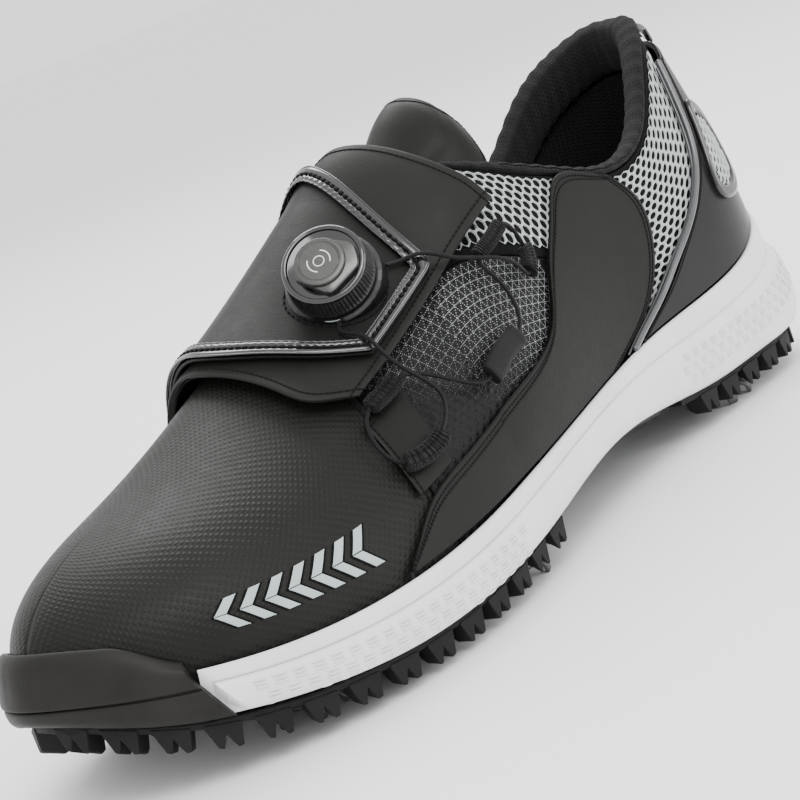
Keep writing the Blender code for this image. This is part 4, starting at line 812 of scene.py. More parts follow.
# ---------------------------------------------------------------- upper
# Share of the heel piping against down, then the quarter's rails of (share, down) from its top to the sole.
HEEL_TRIM = spline([(0.10, 0.078), (0.26, 0.108), (0.38, 0.134), (0.48, 0.177), (0.57, 0.221),
                    (0.72, 0.272), (0.90, 0.352)])
QUARTER = [
    [(0.288, 0.035), (0.352, 0.035), (0.386, 0.25), (0.416, 0.46), (0.440, 0.62), (0.470, 0.70),
     (0.515, 0.732), (0.570, 0.735), (0.625, 0.73), (0.668, 0.74), (0.698, 0.80), (0.714, 0.845)],
    [(0.256, 0.28), (0.340, 0.32), (0.388, 0.46), (0.422, 0.62), (0.450, 0.71), (0.482, 0.76),
     (0.523, 0.78), (0.575, 0.78), (0.628, 0.775), (0.671, 0.785), (0.702, 0.825), (0.7165, 0.856)],
    [(0.292, 0.68), (0.350, 0.70), (0.394, 0.74), (0.429, 0.79), (0.458, 0.815), (0.493, 0.83),
     (0.535, 0.835), (0.585, 0.83), (0.634, 0.82), (0.675, 0.825), (0.705, 0.845), (0.719, 0.866)],
    [(0.374, 1), (0.390, 1), (0.412, 1), (0.440, 1), (0.470, 1), (0.505, 1),
     (0.548, 1), (0.595, 1), (0.640, 1), (0.680, 1), (0.708, 1), (0.722, 1)]]


def build_vamp():
    down, share = np.linspace(-1, 1, 150)[:, None], np.linspace(VAMP_START, 0.9995, 90)[None, :]
    add_sheet("vamp_leather", lay(down, share, 0.0), SHELL, "vamp", "shoe", LEATHER, ["vamp"])
    seam = lay(np.linspace(-0.86, 0.86, 120)[:, None], np.array([[0.664, 0.668, 0.672]]), 0.0)
    add_stitches("vamp_seam", [seam.path("l", 1.2)], "shoe", STITCHES["vamp"])
    build_print()
    down, share = rails_grid([[(0.632, 0.50), (0.676, 0.50)], [(0.632, 0.715), (0.676, 0.715)]],
                             40, 16, to_rim=False)
    patch = lay(down, share, 1.7).roll_edges(0.4)
    add_sheet("throat_patch_leather", patch, 0.9, "smooth", "shoe", LEATHER, ["throat_patch"])
    rows = [patch.path(s, 1.4) for s in "tr"]
    add_stitches("throat_patch_stitches", rows, "shoe", STITCHES["throat_patch"])


def build_print():
    """Plain chevrons where the real shoe carries printed lettering, each a grey face over a dark border."""
    steps, across = edge_steps(14)[:, None], edge_steps(10)[None, :] - 0.5
    for k in range(7):
        for part, near, far in (("a", 0.735, 0.672), ("b", 0.738, 0.80)):
            for name, grow, lift, finish, slot in (("edge", 0.0022, 0.16, "hole", LEATHER),
                                                   ("face", 0.0, 0.30, "print", "mesh_silver")):
                down = near + (far - near) * (steps * (1 + 16 * grow) - 8 * grow) + 0 * across
                share = 0.742 + 0.0185 * k - 0.012 * steps + across * (0.0088 + 2 * grow) + 0.006
                mark = lay(down, share, lift).roll_edges(0.12)
                add_sheet(f"side_print_{k + 1}{part}_{name}", mark, 0.2, finish, "shoe", slot)


def build_quarters():
    for side, sign in SIDES:
        quarter = lay(*rails_grid(QUARTER, 70, 170, sign), 2.2)
        dip = 0.22 * MM * np.exp(-((quarter.v - 2.4 * MM) / (0.9 * MM)) ** 2)
        above_rim = quarter.distance("b") > 4 * MM
        quarter.points = quarter.points - quarter.normals * (dip * above_rim)[..., None]
        quarter.roll_edges(0.75, "tlr")
        show_cut_edge(add_sheet(f"quarter_{side}_leather", quarter, SHELL, "smooth", "shoe", LEATHER,
                                [f"quarter_{side}"]))
        rows = [quarter.path(s, inset) for s in "tl" for inset in (1.7, 3.15)] + [quarter.path("r", 1.6)]
        add_stitches(f"quarter_{side}_stitches", rows, "shoe", STITCHES["quarter"])
        for build in (build_gusset, build_collar_mesh, build_heel_trim, build_badge):
            build(side, sign)


def show_cut_edge(piece):
    """Cut edges in their own finish."""
    piece.data.materials.append(MAT["edge"])
    piece.modifiers["Thickness"].material_offset_rim = 1


def build_gusset(side, sign):
    """Side mesh with silver dots on three families of lines, which fade towards the sole and the toe."""
    share = np.linspace(HEEL_MESH_END + 0.002, VAMP_START - 0.002, 120)[None, :]
    sheet = lay(np.linspace(0.436, 1, 90)[:, None], share * sign, 0.0)
    add_sheet(f"side_mesh_{side}_base", sheet, SHELL, "mesh_side", "shoe", "mesh_dark", [f"side_mesh_{side}"])
    width, height, dot_pitch, line_pitch = 92.0, 44.0, 0.72, 2.85
    run, line = np.meshgrid(np.arange(-150, 150) * dot_pitch, np.arange(-50, 50) * line_pitch)
    turns = [(math.cos(math.radians(turn)), math.sin(math.radians(turn))) for turn in (0, 60, 120)]
    u = np.concatenate([(run * c - line * s).ravel() for c, s in turns]) / width
    v = np.concatenate([(run * s + line * c).ravel() for c, s in turns]) / height
    fade = 1 - smooth((u * 0.75 + v * 0.55 - 0.42) / 0.5)
    shown = (u > 0) & (u < 1) & (v > 0) & (v < 1) & (fade > 0.06)
    down, share = 0.44 + 0.36 * v[shown], (0.42 + 0.235 * u[shown]) * sign
    domes(f"side_mesh_{side}_dots", skin(down, share, 0.02 * MM), face(down, share),
          0.155 * MM * np.sqrt(fade[shown]))


def collar_start(share):
    return 0.035 + 0.017 * smooth((share - 0.34) / 0.07) + 0.168 * smooth((share - 0.478) / 0.05)


def build_collar_mesh(side, sign):
    shares = np.linspace(HEEL_MESH_END + 0.002, VAMP_START - 0.002, 120)
    start = collar_start(shares)
    sheet = lay(start + (0.43 - start) * np.linspace(0, 1, 50)[:, None], shares[None, :] * sign, -0.3)
    node = f"collar_mesh_{side}"
    add_sheet(f"{node}_base", sheet, 1.0, "mesh_base", "shoe", "mesh_dark", [node])

    def place(u, v, lift):
        share = HEEL_MESH_END + 0.004 + u * 0.19 / 62
        first = collar_start(share)
        return skin(first + (0.43 - first) * v / 27, share * sign, lift)

    honeycomb(f"{node}_net", node, place, 62, 25.5, 3.3, lambda u, v: v > 1.5, 0.42, 0.28)


def build_heel():
    down, share = np.linspace(0.035, 1, 60)[:, None], np.linspace(-HEEL_MESH_END, HEEL_MESH_END, 140)[None, :]
    add_sheet("heel_mesh_base", lay(down, share, -0.3), 1.0, "mesh_base", "shoe", "mesh_dark", ["heel_mesh"])
    for side, sign in SIDES:

        def spot(u, v):
            return 0.045 + v * 0.9 / 70, 0.045 + u * 0.30 / 62

        def place(u, v, lift):
            down, share = spot(u, v)
            return skin(down, share * sign, lift)

        def keep(u, v):
            down, share = spot(u, v)
            return float(HEEL_TRIM(down)) - 0.004 < share < 0.315 and 0.05 < down < 0.93

        honeycomb(f"heel_mesh_net_{side}", "heel_mesh", place, 62, 66, 3.0, keep, 0.38, 0.32)
    down, share = arc_grid(0.12, 60, 130, 0, -0.002, whole=True)
    panel = lay(down, share, HEEL_LIFT).roll_edges(0.6, "tlr")
    add_sheet("heel_panel_leather", panel, SHELL, "satin", "shoe", LEATHER, ["heel_panel"])
    add_stitches("heel_panel_stitches", [panel.path(s, 1.5) for s in "lrt"], "shoe", STITCHES["heel_panel"])
    steps, across = edge_steps(40)[:, None], (edge_steps(24) * 2 - 1)[None, :]
    share = across * (0.022 + 0.026 * steps)
    strip = lay(0.52 + (rim_down(share) - 0.52) * steps, share, HEEL_LIFT + 1.4).roll_edges(0.7, "tlr")
    add_sheet("heel_strip_moulding", strip, 0.9, "glossy", "shoe", "patent_trim", ["heel_strip"])
    down, share = 0.035 + 0.065 * edge_steps(20)[:, None], (edge_steps(30) * 0.1 - 0.05)[None, :]
    tab = lay(down, share, 2.6).roll_edges(0.8)
    add_sheet("heel_tab_moulding", tab, 1.8, "glossy", "shoe", "patent_trim", ["heel_tab"])


def build_heel_trim(side, sign):
    """Smoked piping along the arc of the heel panel, with a thin second ridge beside it."""
    for name, finish, low, high, lift, radius in (("", "smoke", 0.004, 0.015, 2.15, 1.0),
                                                  ("_ridge", "glossy", 0.0155, 0.021, 1.55, 0.45)):
        down, share = (grid[:, grid.shape[1] // 2] for grid in arc_grid(0.10, 90, 12, low, high, sign=sign))
        add_tube(f"heel_trim_{side}_piping{name}", skin(down, share, lift * MM), radius, finish, "shoe",
                 "patent_trim", 14, face(down, share), replaces=[f"heel_trim_{side}"])


def build_badge(side, sign):
    """Moulded frame with a mesh inset."""
    outline = np.array([(0.098, 0.27), (0.078, 0.40), (0.074, 0.52), (0.085, 0.64), (0.112, 0.685),
                        (0.142, 0.60), (0.138, 0.46), (0.117, 0.33)])
    centre, fine = outline.mean(0), closed_curve(outline, 96)

    def scaled(scale, lift):
        shape = centre + (fine - centre) * scale
        return skin(shape[..., 1], shape[..., 0] * sign, (HEEL_LIFT + lift) * MM)

    profile = ((1.0, 0.0), (1.0, 1.0), (0.985, 1.45), (0.95, 1.7), (0.90, 1.65), (0.85, 1.45), (0.80, 1.55),
               (0.77, 1.4), (0.74, 1.0), (0.73, 0.0))
    rings = [scaled(scale, lift) for scale, lift in profile]
    faces = [f[::sign] for f in grid_faces(len(rings), 96, wrap=True)]
    add_mesh(f"heel_badge_{side}_moulding", rings, faces, "glossy", "shoe", "patent_trim",
             [f"heel_badge_frame_{side}"])
    inset = scaled(np.linspace(0, 0.75, 14)[:, None, None], 0.45)
    add_mesh(f"heel_badge_{side}_base", inset, grid_faces(14, 96, wrap=True), "mesh_base", "shoe",
             "mesh_dark", [f"heel_badge_mesh_{side}"])
    polygon = centre + (fine - centre) * 0.72

    def spot(u, v):
        return 0.25 + v * 0.45 / 40, 0.07 + u * 0.075 / 19

    def inside(u, v):
        d, s = spot(u, v)
        crossings = sum((y0 > d) != (y1 > d) and s < (x1 - x0) * (d - y0) / (y1 - y0) + x0
                        for (x0, y0), (x1, y1) in zip(polygon, np.roll(polygon, -1, 0)))
        return crossings % 2 == 1

    def place(u, v, lift):
        down, share = spot(u, v)
        return skin(down, share * sign, (HEEL_LIFT + 0.75) * MM + lift)

    honeycomb(f"heel_badge_{side}_net", f"heel_badge_mesh_{side}", place, 19, 40, 2.8, inside)


def build_collar():
    """Padded knit roll round the opening, from a closed profile of (depth, lift) in mm."""
    profile = np.array([(1.0, 0.6), (-0.6, 0.5), (-1.7, -1.4), (-1.5, -4.4), (-0.2, -6.6), (4, -7.8),
                        (9, -7.6), (13.3, -6.4), (13.8, -3.6), (8, -3.3), (2.4, -3.0), (1.4, -0.6)])
    count, around, girth = 260, 60, 34.0
    shares = np.linspace(-0.478, 0.478, count)
    crest = last(0.0, shares)
    up, out = unit(crest - last(0.04, shares)), face(0.04, shares)
    slim = 1 - 0.45 * smooth((np.abs(shares) - 0.33) / 0.14)
    rings = []
    for depth, lift in closed_curve(profile, around):
        inward = (max(lift, -3.6) + min(lift + 3.6, 0) * slim - 2 * (1 - slim) * (depth > 2)) * MM
        if depth < 0:
            rings.append(crest - up * depth * MM + out * inward[:, None])
        else:
            rings.append(skin(depth_down(np.abs(shares), depth * MM), shares, inward))
    rings = np.array(rings).transpose(1, 0, 2)
    middle = rings.mean(1, keepdims=True)
    braid = 0.028 * np.cos(2 * np.pi * np.arange(count) / 5.2)
    shape = middle + (rings - middle) * (1 + braid)[:, None, None]
    uv = np.broadcast_arrays((run_along(shape[:, 0]) / MM)[:, None], np.arange(around) * girth / around)
    roll = add_mesh("collar_roll", shape, tube_faces(count, around), "knit", "shoe", "knit_black",
                    ["collar_padding"], np.stack(uv, -1))


def build_inside():
    shares = np.linspace(-0.45, 0.45, 120)
    start = depth_down(np.abs(shares), 15.5 * MM)
    down = start[None, :] + (0.97 - start[None, :]) * np.linspace(0, 1, 40)[:, None]
    lining = lay(down, shares[None, :], -3.7)
    add_sheet("lining_knit", lining, 1.0, "lining", "shoe", "knit_black", ["lining"])
    shares = np.linspace(0, 1, 160)
    outer, inner = (np.column_stack(ring_point(side, shares, -6.2 * MM)) for side in (1, -1))
    across = (edge_steps(40) * 2 - 1)[None, :, None]
    x, along = np.moveaxis(((outer + inner) / 2)[:, None] + ((outer - inner) / 2)[:, None] * across, -1, 0)
    height = rim_height(along) - tray_depth(along) + (5.2 + 1.6 * np.abs(across[..., 0]) ** 3) * MM
    bed = Sheet(np.stack([x, HEEL_Y - along, height], -1)).outward_from(np.array([0, 0, 1.0]))
    footbed = add_sheet("footbed_foam", bed, 3.0, "lining", "shoe", "knit_black", ["footbed"])


def build_tongue():
    """Padded tongue with rolled edges, a quilted channel along each side and stitches inside its edge."""
    along = 203 - 95 * edge_steps(70)
    across = (edge_steps(60) * 2 - 1)[None, :]
    knots = [108, 117, 130, 150]
    medial = eased(along, knots, [0.35, 0.40, 0.24, 0.17])[:, None]
    lateral = eased(along, knots, [0.30, 0.40, 0.36, 0.28])[:, None]
    rise = eased(along, [108, 112, 118, 125, 133, 142], [9.6, 9.4, 7.6, 4.9, 2.3, 0])[:, None]
    rounding = 1 - 0.30 * np.clip((116 - along) / 8, 0, 1)[:, None] ** 2
    down = np.where(across < 0, across * medial, across * lateral) * rounding
    crown = (1 - np.abs(across) ** 6) * smooth((along - 108) / 4)[:, None]
    channel = np.exp(-((np.abs(across) - 0.62) / 0.05) ** 2)
    fall = np.where(across > 0, 0.95 * np.abs(across) ** 2.2, 0.7 * np.abs(across) ** 1.9)
    lift = (rise * (1 - fall) - 5.6 + 0.5 * crown - 0.35 * channel) * MM
    sheet = lay_over(instep(down, along[:, None] * MM + 0 * down, lift)).roll_edges(1.1, "blr")
    tongue = add_sheet("tongue_pad", sheet, 2.6, "smooth", "tongue", LEATHER, ["tongue"])
    rows = [sheet.path("b", 3.2, 0.05, 0.95), sheet.path("l", 2.8, 0.4), sheet.path("r", 2.8, 0.4)]
    add_stitches("tongue_stitches", rows, "tongue", STITCHES["tongue"])


def eased(at, knots, values):
    """Piecewise linear table with its corners eased."""
    step = (knots[-1] - knots[0]) * 0.03
    return sum(np.interp(at + k * step, knots, values) for k in (-2, -1, 0, 1, 2)) / 5


# ---------------------------------------------------------------- strap
def build_strap():
    steps = edge_steps(70)[None, :]

    def between(down, rear_table, front_table, inset, lift):
        rear, front = spline(rear_table)(down) * MM + inset * MM, spline(front_table)(down) * MM - inset * MM
        along = front[:, None] + (rear - front)[:, None] * steps
        return lay_over(strap_surface(down[:, None] + 0 * steps, along, lift))

    down = STRAP_ROOT + (0.455 - STRAP_ROOT) * edge_steps(150)
    sheet = between(down, STRAP_REAR, STRAP_FRONT, 0, 4.9 * MM).roll_edges(0.7)
    show_cut_edge(add_sheet("strap_leather", sheet, 1.9, "strap", "strap", LEATHER, ["strap"]))
    add_stitches("strap_stitches", [sheet.path(s, 2.4) for s in "lrb"], "strap", STITCHES["strap"])
    patch = between(-0.62 + 1.045 * edge_steps(130), TRIM_REAR, TRIM_FRONT, 0.4, PATCH_LIFT)
    add_sheet("strap_patch_leather", patch, 1.1, "patch", "strap", LEATHER, ["strap_patch"])
    build_trim()
    build_stitched_circle(patch)


def build_trim():
    """Patent band round the patch: two glossy strips with thick stitches in the seam between them."""
    down = np.linspace(-0.62, 0.425, 60)
    limit = down[-1] - 0.032

    def band_edge(down, inset, end):
        """Line from the rear edge round the lateral end to the front edge."""
        rear, front = spline(TRIM_REAR)(down) * MM + inset, spline(TRIM_FRONT)(down) * MM - inset
        turn = [(down[-1], along * MM) for along in end]
        return soften(np.array(list(zip(down, rear)) + turn + list(zip(down, front))[::-1]))

    outer = band_edge(down, 0, (167, 172, 177))
    inner = band_edge(np.minimum(down, limit), 4.4 * MM, (168, 172, 176))
    across = np.linspace(0, 1, 25)
    profile = sum(0.55 * np.sin(math.pi * np.clip((across - start) / 0.46, 0, 1)) ** 0.6
                  for start in (0, 0.54))
    grid = outer[:, None] + (inner - outer)[:, None] * across[None, :, None]
    wrinkle = 0.10 * np.sin(np.arange(len(outer)) * 1.9)[:, None] * smooth((across - 0.5) / 0.1)[None, :]
    lift = (7.75 + profile[None, :] + wrinkle) * MM
    sheet = lay_over(strap_surface(grid[..., 0], grid[..., 1], lift)).roll_edges(0.4, "lr")
    add_sheet("patch_trim_patent", sheet, 1.0, "patent", "strap", "patent_trim", ["patch_trim"])
    middle = sheet.points.shape[1] // 2
    path, normals = sheet.points[:, middle], sheet.normals[:, middle]
    add_stitches("patch_trim_stitches", [(path + normals * 0.25 * MM, normals)], "strap",
                 STITCHES["patch_trim"], "patent_trim")
    for side, column in (("outer", 1), ("inner", -2)):
        add_tube(f"patch_trim_{side}_line", sheet.points[:, column] + sheet.normals[:, column] * 0.05 * MM,
                 0.28, "patent", "strap", "patent_trim", 6)


def soften(line, passes=6, fine=3):
    """Line resampled more finely with its corners rounded."""
    run = run_along(line / [0.02, 1 * MM])
    at = np.linspace(0, run[-1], len(line) * fine)
    out = np.column_stack([np.interp(at, run, c) for c in line.T])
    for _ in range(passes):
        out[1:-1] = (out[:-2] + 2 * out[1:-1] + out[2:]) / 4
    return out


def dial_turn():
    down, along = DIAL_PLACE
    centre = Vector(instep(down, along, PATCH_LIFT))
    side = DIAL_AXIS.cross(Vector((0, 1, 0))).normalized()
    turn = Matrix((side, DIAL_AXIS.cross(side), DIAL_AXIS)).transposed().to_4x4()
    return Matrix.Translation(centre + DIAL_AXIS * 2.2 * MM) @ turn


DIAL = np.array(dial_turn())


def in_dial(points):
    """Points given in the dial's frame in mm, moved to the sketch frame."""
    return np.asarray(points, float) * MM @ DIAL[:3, :3].T + DIAL[:3, 3]


def dial_arc(radius, first, final, height, count, middle=(0, 0)):
    """Arc about an axis parallel to the dial's, with its sizes in mm and its ends in degrees."""
    angles = np.radians(np.linspace(first, final, count))
    return in_dial(np.column_stack([middle[0] + radius * np.cos(angles), middle[1] + radius * np.sin(angles),
                                    np.full(count, height)]))


def build_stitched_circle(patch):
    ring = drop(dial_arc(14.2, 0, 360, 0, 180), patch)
    add_stitches("dial_circle_stitches", [ring], "strap", STITCHES["dial_circle"])


# ---------------------------------------------------------------- dial
def turned(name, profile, material, body, slot, replaces=(), segments=144, ribs=None, middle=(0, 0)):
    """Piece turned about the dial's axis from (radius, height) in mm; ribs is (count, depth, low, high)."""
    angles = ring_angles(segments)
    rings = []
    for radius, height in profile:
        reach = np.full(segments, radius)
        if ribs and ribs[2] <= height <= ribs[3]:
            reach = reach - ribs[1] * (0.5 - 0.5 * np.cos(angles * ribs[0])) ** 0.6
        rings.append(np.column_stack([middle[0] + reach * np.cos(angles), middle[1] + reach * np.sin(angles),
                                      np.full(segments, height)]))
    add_mesh(name, in_dial(np.concatenate(rings)), tube_faces(len(rings), segments), material, body, slot,
             replaces, sharp=40)


def arc_profile(start, end, bulge=0.3, steps=6):
    """Rounded corner from one profile point to another, bulging to the left of the way."""
    (r0, h0), (r1, h1) = start, end
    bows = [(t, bulge * math.sin(math.pi * t)) for t in np.linspace(0, 1, steps + 1)]
    return [(r0 + (r1 - r0) * t + (h1 - h0) * bow, h0 + (h1 - h0) * t - (r1 - r0) * bow) for t, bow in bows]


def build_dial():
    flange = [(8.9, 1.0), (8.9, 5.6), (9.6, 5.6), (9.6, 2.0)] + arc_profile((12.1, 1.9), (12.9, 1.1), 0.25)
    flange += [(12.9, 0.2), (12.6, -1.6)]
    turned("dial_base_flange", flange, "black", "strap", "plastic_black")
    skirt = [(10.2, 2.4), (11.0, 2.3)] + arc_profile((11.3, 2.4), (11.7, 3.0), 0.2, 3)
    skirt += [(11.7 - 0.62 * t, 3.0 + 5.3 * t) for t in np.linspace(0.02, 1, 12)]
    skirt += arc_profile((10.95, 8.6), (10.3, 9.9), 0.28) + arc_profile((10.2, 9.92), (9.5, 9.2), 0.2, 4)
    skirt += [(9.3, 9.2), (0.5, 9.2)]
    turned("dial_knob_ribbed", skirt, "knob", "knob", "plastic_black", ["dial_knob"], 432,
           (68, 0.45, 3.3, 8.5))
    rim = arc_profile((10.98, 8.75), (10.35, 9.95), 0.3, 8) + arc_profile((10.25, 9.97), (9.55, 9.3), 0.25, 6)
    rim += [(9.4, 9.26), (0.5, 9.26)]
    turned("dial_knob_gloss_rim", rim, "gloss", "knob", "plastic_black")
    build_cap_plate()
    disc = [(6.7, 10.3), (6.7, 11.1)] + arc_profile((6.65, 11.3), (6.2, 11.65), 0.2, 4)
    disc += [(5.6, 11.68), (5.45, 11.5), (5.2, 11.5), (5.05, 11.68), (0.4, 11.72)]
    turned("badge_disc_ringed", disc, "disc", "knob", "plastic_gunmetal", ["badge_disc"], 96,
           middle=DISC_MIDDLE)
    for k, first in enumerate((-150, 30), 1):
        add_tube(f"badge_disc_arc_{k}", dial_arc(3.0, first, first + 90, 11.7, 24, DISC_MIDDLE), 0.17,
                 "white_mark", "knob", "plastic_gunmetal", 8)
    add_tube("badge_disc_ring", dial_arc(1.4, 0, 355, 11.7, 72, DISC_MIDDLE), 0.14, "white_mark", "knob",
             "plastic_gunmetal", 8, closed=True)
    add_tube("dial_base_mark", dial_arc(12.35, FLANGE_MARK - 18, FLANGE_MARK + 18, 1.95, 20), 0.15, "print",
             "strap", "plastic_black", 6)


def build_cap_plate():
    """Rounded pick-shaped lid plate with a bevelled edge."""
    closed = np.array(PLATE_CORNERS + PLATE_CORNERS[:1])
    run = run_along(closed)
    at = np.linspace(0, run[-1], 145)[:-1]
    outline = np.column_stack([np.interp(at, run, c) for c in closed.T])
    for _ in range(30):
        outline = (np.roll(outline, 1, 0) + 2 * outline + np.roll(outline, -1, 0)) / 4
    centre = outline.mean(0)
    rings = [np.column_stack([centre + (outline - centre) * scale, np.full(len(outline), height)])
             for scale, height in ((1.0, 9.3), (1.0, 10.15), (0.985, 10.32), (0.90, 10.55), (0.5, 10.6),
                                   (0.02, 10.6))]
    add_mesh("knob_cap_plate_lacquer", in_dial(np.concatenate(rings)),
             grid_faces(len(rings), len(outline), wrap=True), "plate", "knob", "plastic_gunmetal",
             ["knob_cap_plate"], sharp=30)


# ---------------------------------------------------------------- lace
# Name, first and last point of the lace inside it, width in mm, body, finish and pitch of the ribs in mm.
GUIDES = [("lace_guide_quarter_upper", 5, 7, 5.0, "shoe", "webbing", 0.9),
          ("lace_guide_strap_upper", 8, 10, 4.4, "strap", "webbing", 0.8),
          ("lace_guide_quarter_middle", 12, 14, 6.4, "shoe", "tape", 0.0),
          ("lace_guide_strap_lower", 16, 18, 5.0, "strap", "webbing", 0.5),
          ("lace_guide_quarter_lower", 20, 22, 5.4, "shoe", "webbing", 0.5)]


def lace_points():
    """Route of the lace, given point by point, from one side of the dial to the other."""
    def dial_exit(degrees):
        """Place on the dial's flange where the lace leaves, and one a little further out."""
        way = np.array([math.cos(math.radians(degrees)), math.sin(math.radians(degrees))])
        turn = np.linalg.inv(DIAL)
        spots = []
        for reach in (13.4, 15.9):
            down, along = np.meshgrid(DIAL_PLACE[0] + np.linspace(-0.2, 0.2, 41),
                                      DIAL_PLACE[1] + np.linspace(-18, 18, 37) * MM)
            local = instep(down, along, PATCH_LIFT).reshape(-1, 3) @ turn[:3, :3].T + turn[:3, 3]
            nearest = np.argmin(np.linalg.norm(local[:, :2] - way * reach * MM, axis=1))
            spots.append(in_dial([[*(way * reach), 0]])[0] + DIAL[:3, 2] * (local[nearest, 2] + 1.4 * MM))
        return spots

    def over(down, along, lift):
        return instep(down, along * MM, lift * MM)

    def on(down, share, lift):
        return skin(down, share, lift * MM)

    route = dial_exit(238)
    route += [over(0.39, 158, 9.6), over(0.455, 152.5, 8.0), on(0.49, 0.470, 5.4)]
    route += [on(0.505, 0.457, 3.9), on(0.455, 0.449, 3.9), on(0.415, 0.449, 4.2)]
    route += [over(0.508, 134, 4.6), over(0.508, 140, 4.6), over(0.508, 146, 4.6), on(0.505, 0.497, 4.2)]
    route += [on(0.632, 0.500, 4.0), on(0.652, 0.530, 4.0), on(0.665, 0.562, 4.0)]
    route += [on(0.60, 0.592, 3.4), over(0.50, 187, 4.4), over(0.497, 193, 4.4), over(0.492, 200, 4.4)]
    route += [on(0.56, 0.684, 3.4), on(0.625, 0.678, 3.6), on(0.652, 0.660, 3.9), on(0.648, 0.628, 3.9)]
    route += [on(0.60, 0.612, 4.6), over(0.50, 186, 7.6), over(0.44, 186.5, 9.2), over(0.385, 186, 9.2)]
    return np.array(route + dial_exit(136)[::-1])


def build_lace():
    points = lace_points()
    run = chord_share(*points.T)
    curves = [spline(np.column_stack([run, column])) for column in points.T]

    def curve(at):
        return np.stack([c(at) for c in curves], -1)

    stops = [0.0] + [(run[first] + run[final]) / 2 for _, first, final, *_ in GUIDES] + [1.0]
    bodies = ["strap"] + [body for *_, body, _, _ in GUIDES] + ["strap"]
    for k in range(6):
        path = curve(np.linspace(stops[k], stops[k + 1], 90))
        piece = add_tube(f"lace_run_{k + 1}", path, 0.55, "wire", None, "wire_black", 12,
                         replaces=["lace_wire"])
        if bodies[k] == bodies[k + 1]:
            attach(piece, bodies[k])
        else:
            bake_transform(piece)
    for name, first, final, width, body, finish, rib in GUIDES:
        build_guide(name, curve, run[first], run[final], width, body, finish, rib)


def nearest_face(point):
    downs, shares = np.meshgrid(np.linspace(0.2, 0.8, 31), np.linspace(0.4, 0.75, 36))
    k = np.argmin(np.linalg.norm(last(downs, shares) - point, axis=-1))
    return face(downs.ravel()[k], shares.ravel()[k])


def build_guide(name, curve, start, end, width, body, finish, rib):
    """Folded webbing loop round the lace, ribbed along its width."""
    count, around, half = 70, 40, width / 2
    trim = (end - start) * 0.09
    stations = np.linspace(start + trim, end - trim, count)
    centres, angles = curve(stations), ring_angles(around)
    outwards, length = nearest_face(centres[count // 2]), run_along(centres) / MM
    c, s = np.cos(angles), np.sin(angles)
    verts, uv = [], []
    for i, centre in enumerate(centres):
        ahead = unit(curve(stations[i] + 0.002) - curve(stations[i] - 0.002))
        across = unit(np.cross(ahead, outwards))
        out = np.cross(across, ahead)
        near_end = min(i, count - 1 - i)
        ridge = 0.16 * math.cos(2 * math.pi * length[i] / rib) if rib else 0.12 * (near_end < 8)
        ease = 1 - 0.12 * (1 - min(near_end / 3, 1)) ** 2
        x = half * ease * np.sign(c) * np.abs(c) ** 0.45
        z = 0.15 + (1.5 * ease + ridge) * np.sign(s) * np.abs(s) ** 0.75 * (1 - 0.25 * np.abs(c) ** 2)
        verts.append(centre + (across * x[:, None] + out * z[:, None]) * MM)
        uv.append(np.column_stack([np.full(around, length[i]), angles * half]))
    add_mesh(name + "_webbing", np.concatenate(verts), tube_faces(count, around), finish, body,
             "webbing_black", [name], np.concatenate(uv), sharp=50)


# ---------------------------------------------------------------- sole
def ring_point(side, share, margin):
    x, along = feather(side, share)
    nx, na = outward(side, share)
    return x + nx * margin, along + na * margin


def heel_flare(share):
    return 4.8 * MM * (1 - smooth(feather_along(share) / (48 * MM)))


def slant(share, part):
    return 0.022 * part * np.maximum(0.0, 1 - np.abs(share - BUMPER_START) / 0.07)


# Side wall of the midsole from rim to bottom edge: part of its height, margin in mm, share of the heel flare.
WALL = np.array([(0, 3.4, 0), (0.04, 3.6, 0.02), (0.12, 3.75, 0.08), (0.27, 3.7, 0.15), (0.305, 2.9, 0.2),
                 (0.34, 3.9, 0.35), (0.45, 4.7, 0.6), (0.60, 5.1, 0.8), (0.75, 5.2, 0.95), (0.88, 4.9, 1.0),
                 (0.96, 4.2, 0.9), (1, 2.4, 0.7)])


def wall_at(part):
    """Margin outside the feather line, and share of the heel flare, at a height of the side wall."""
    return np.interp(part, WALL[:, 0], WALL[:, 1]) * MM, np.interp(part, WALL[:, 0], WALL[:, 2])


def wall_point(side, share, part):
    """Point of the midsole's side wall; part runs from 0 at the rim to 1 at the bottom edge."""
    margin, flare = wall_at(part)
    x, along = ring_point(side, share, margin + heel_flare(share) * flare)
    rim, bottom = rim_height(along), bottom_height(along)
    return np.stack([x, HEEL_Y - along, rim - (rim - bottom) * part], -1)


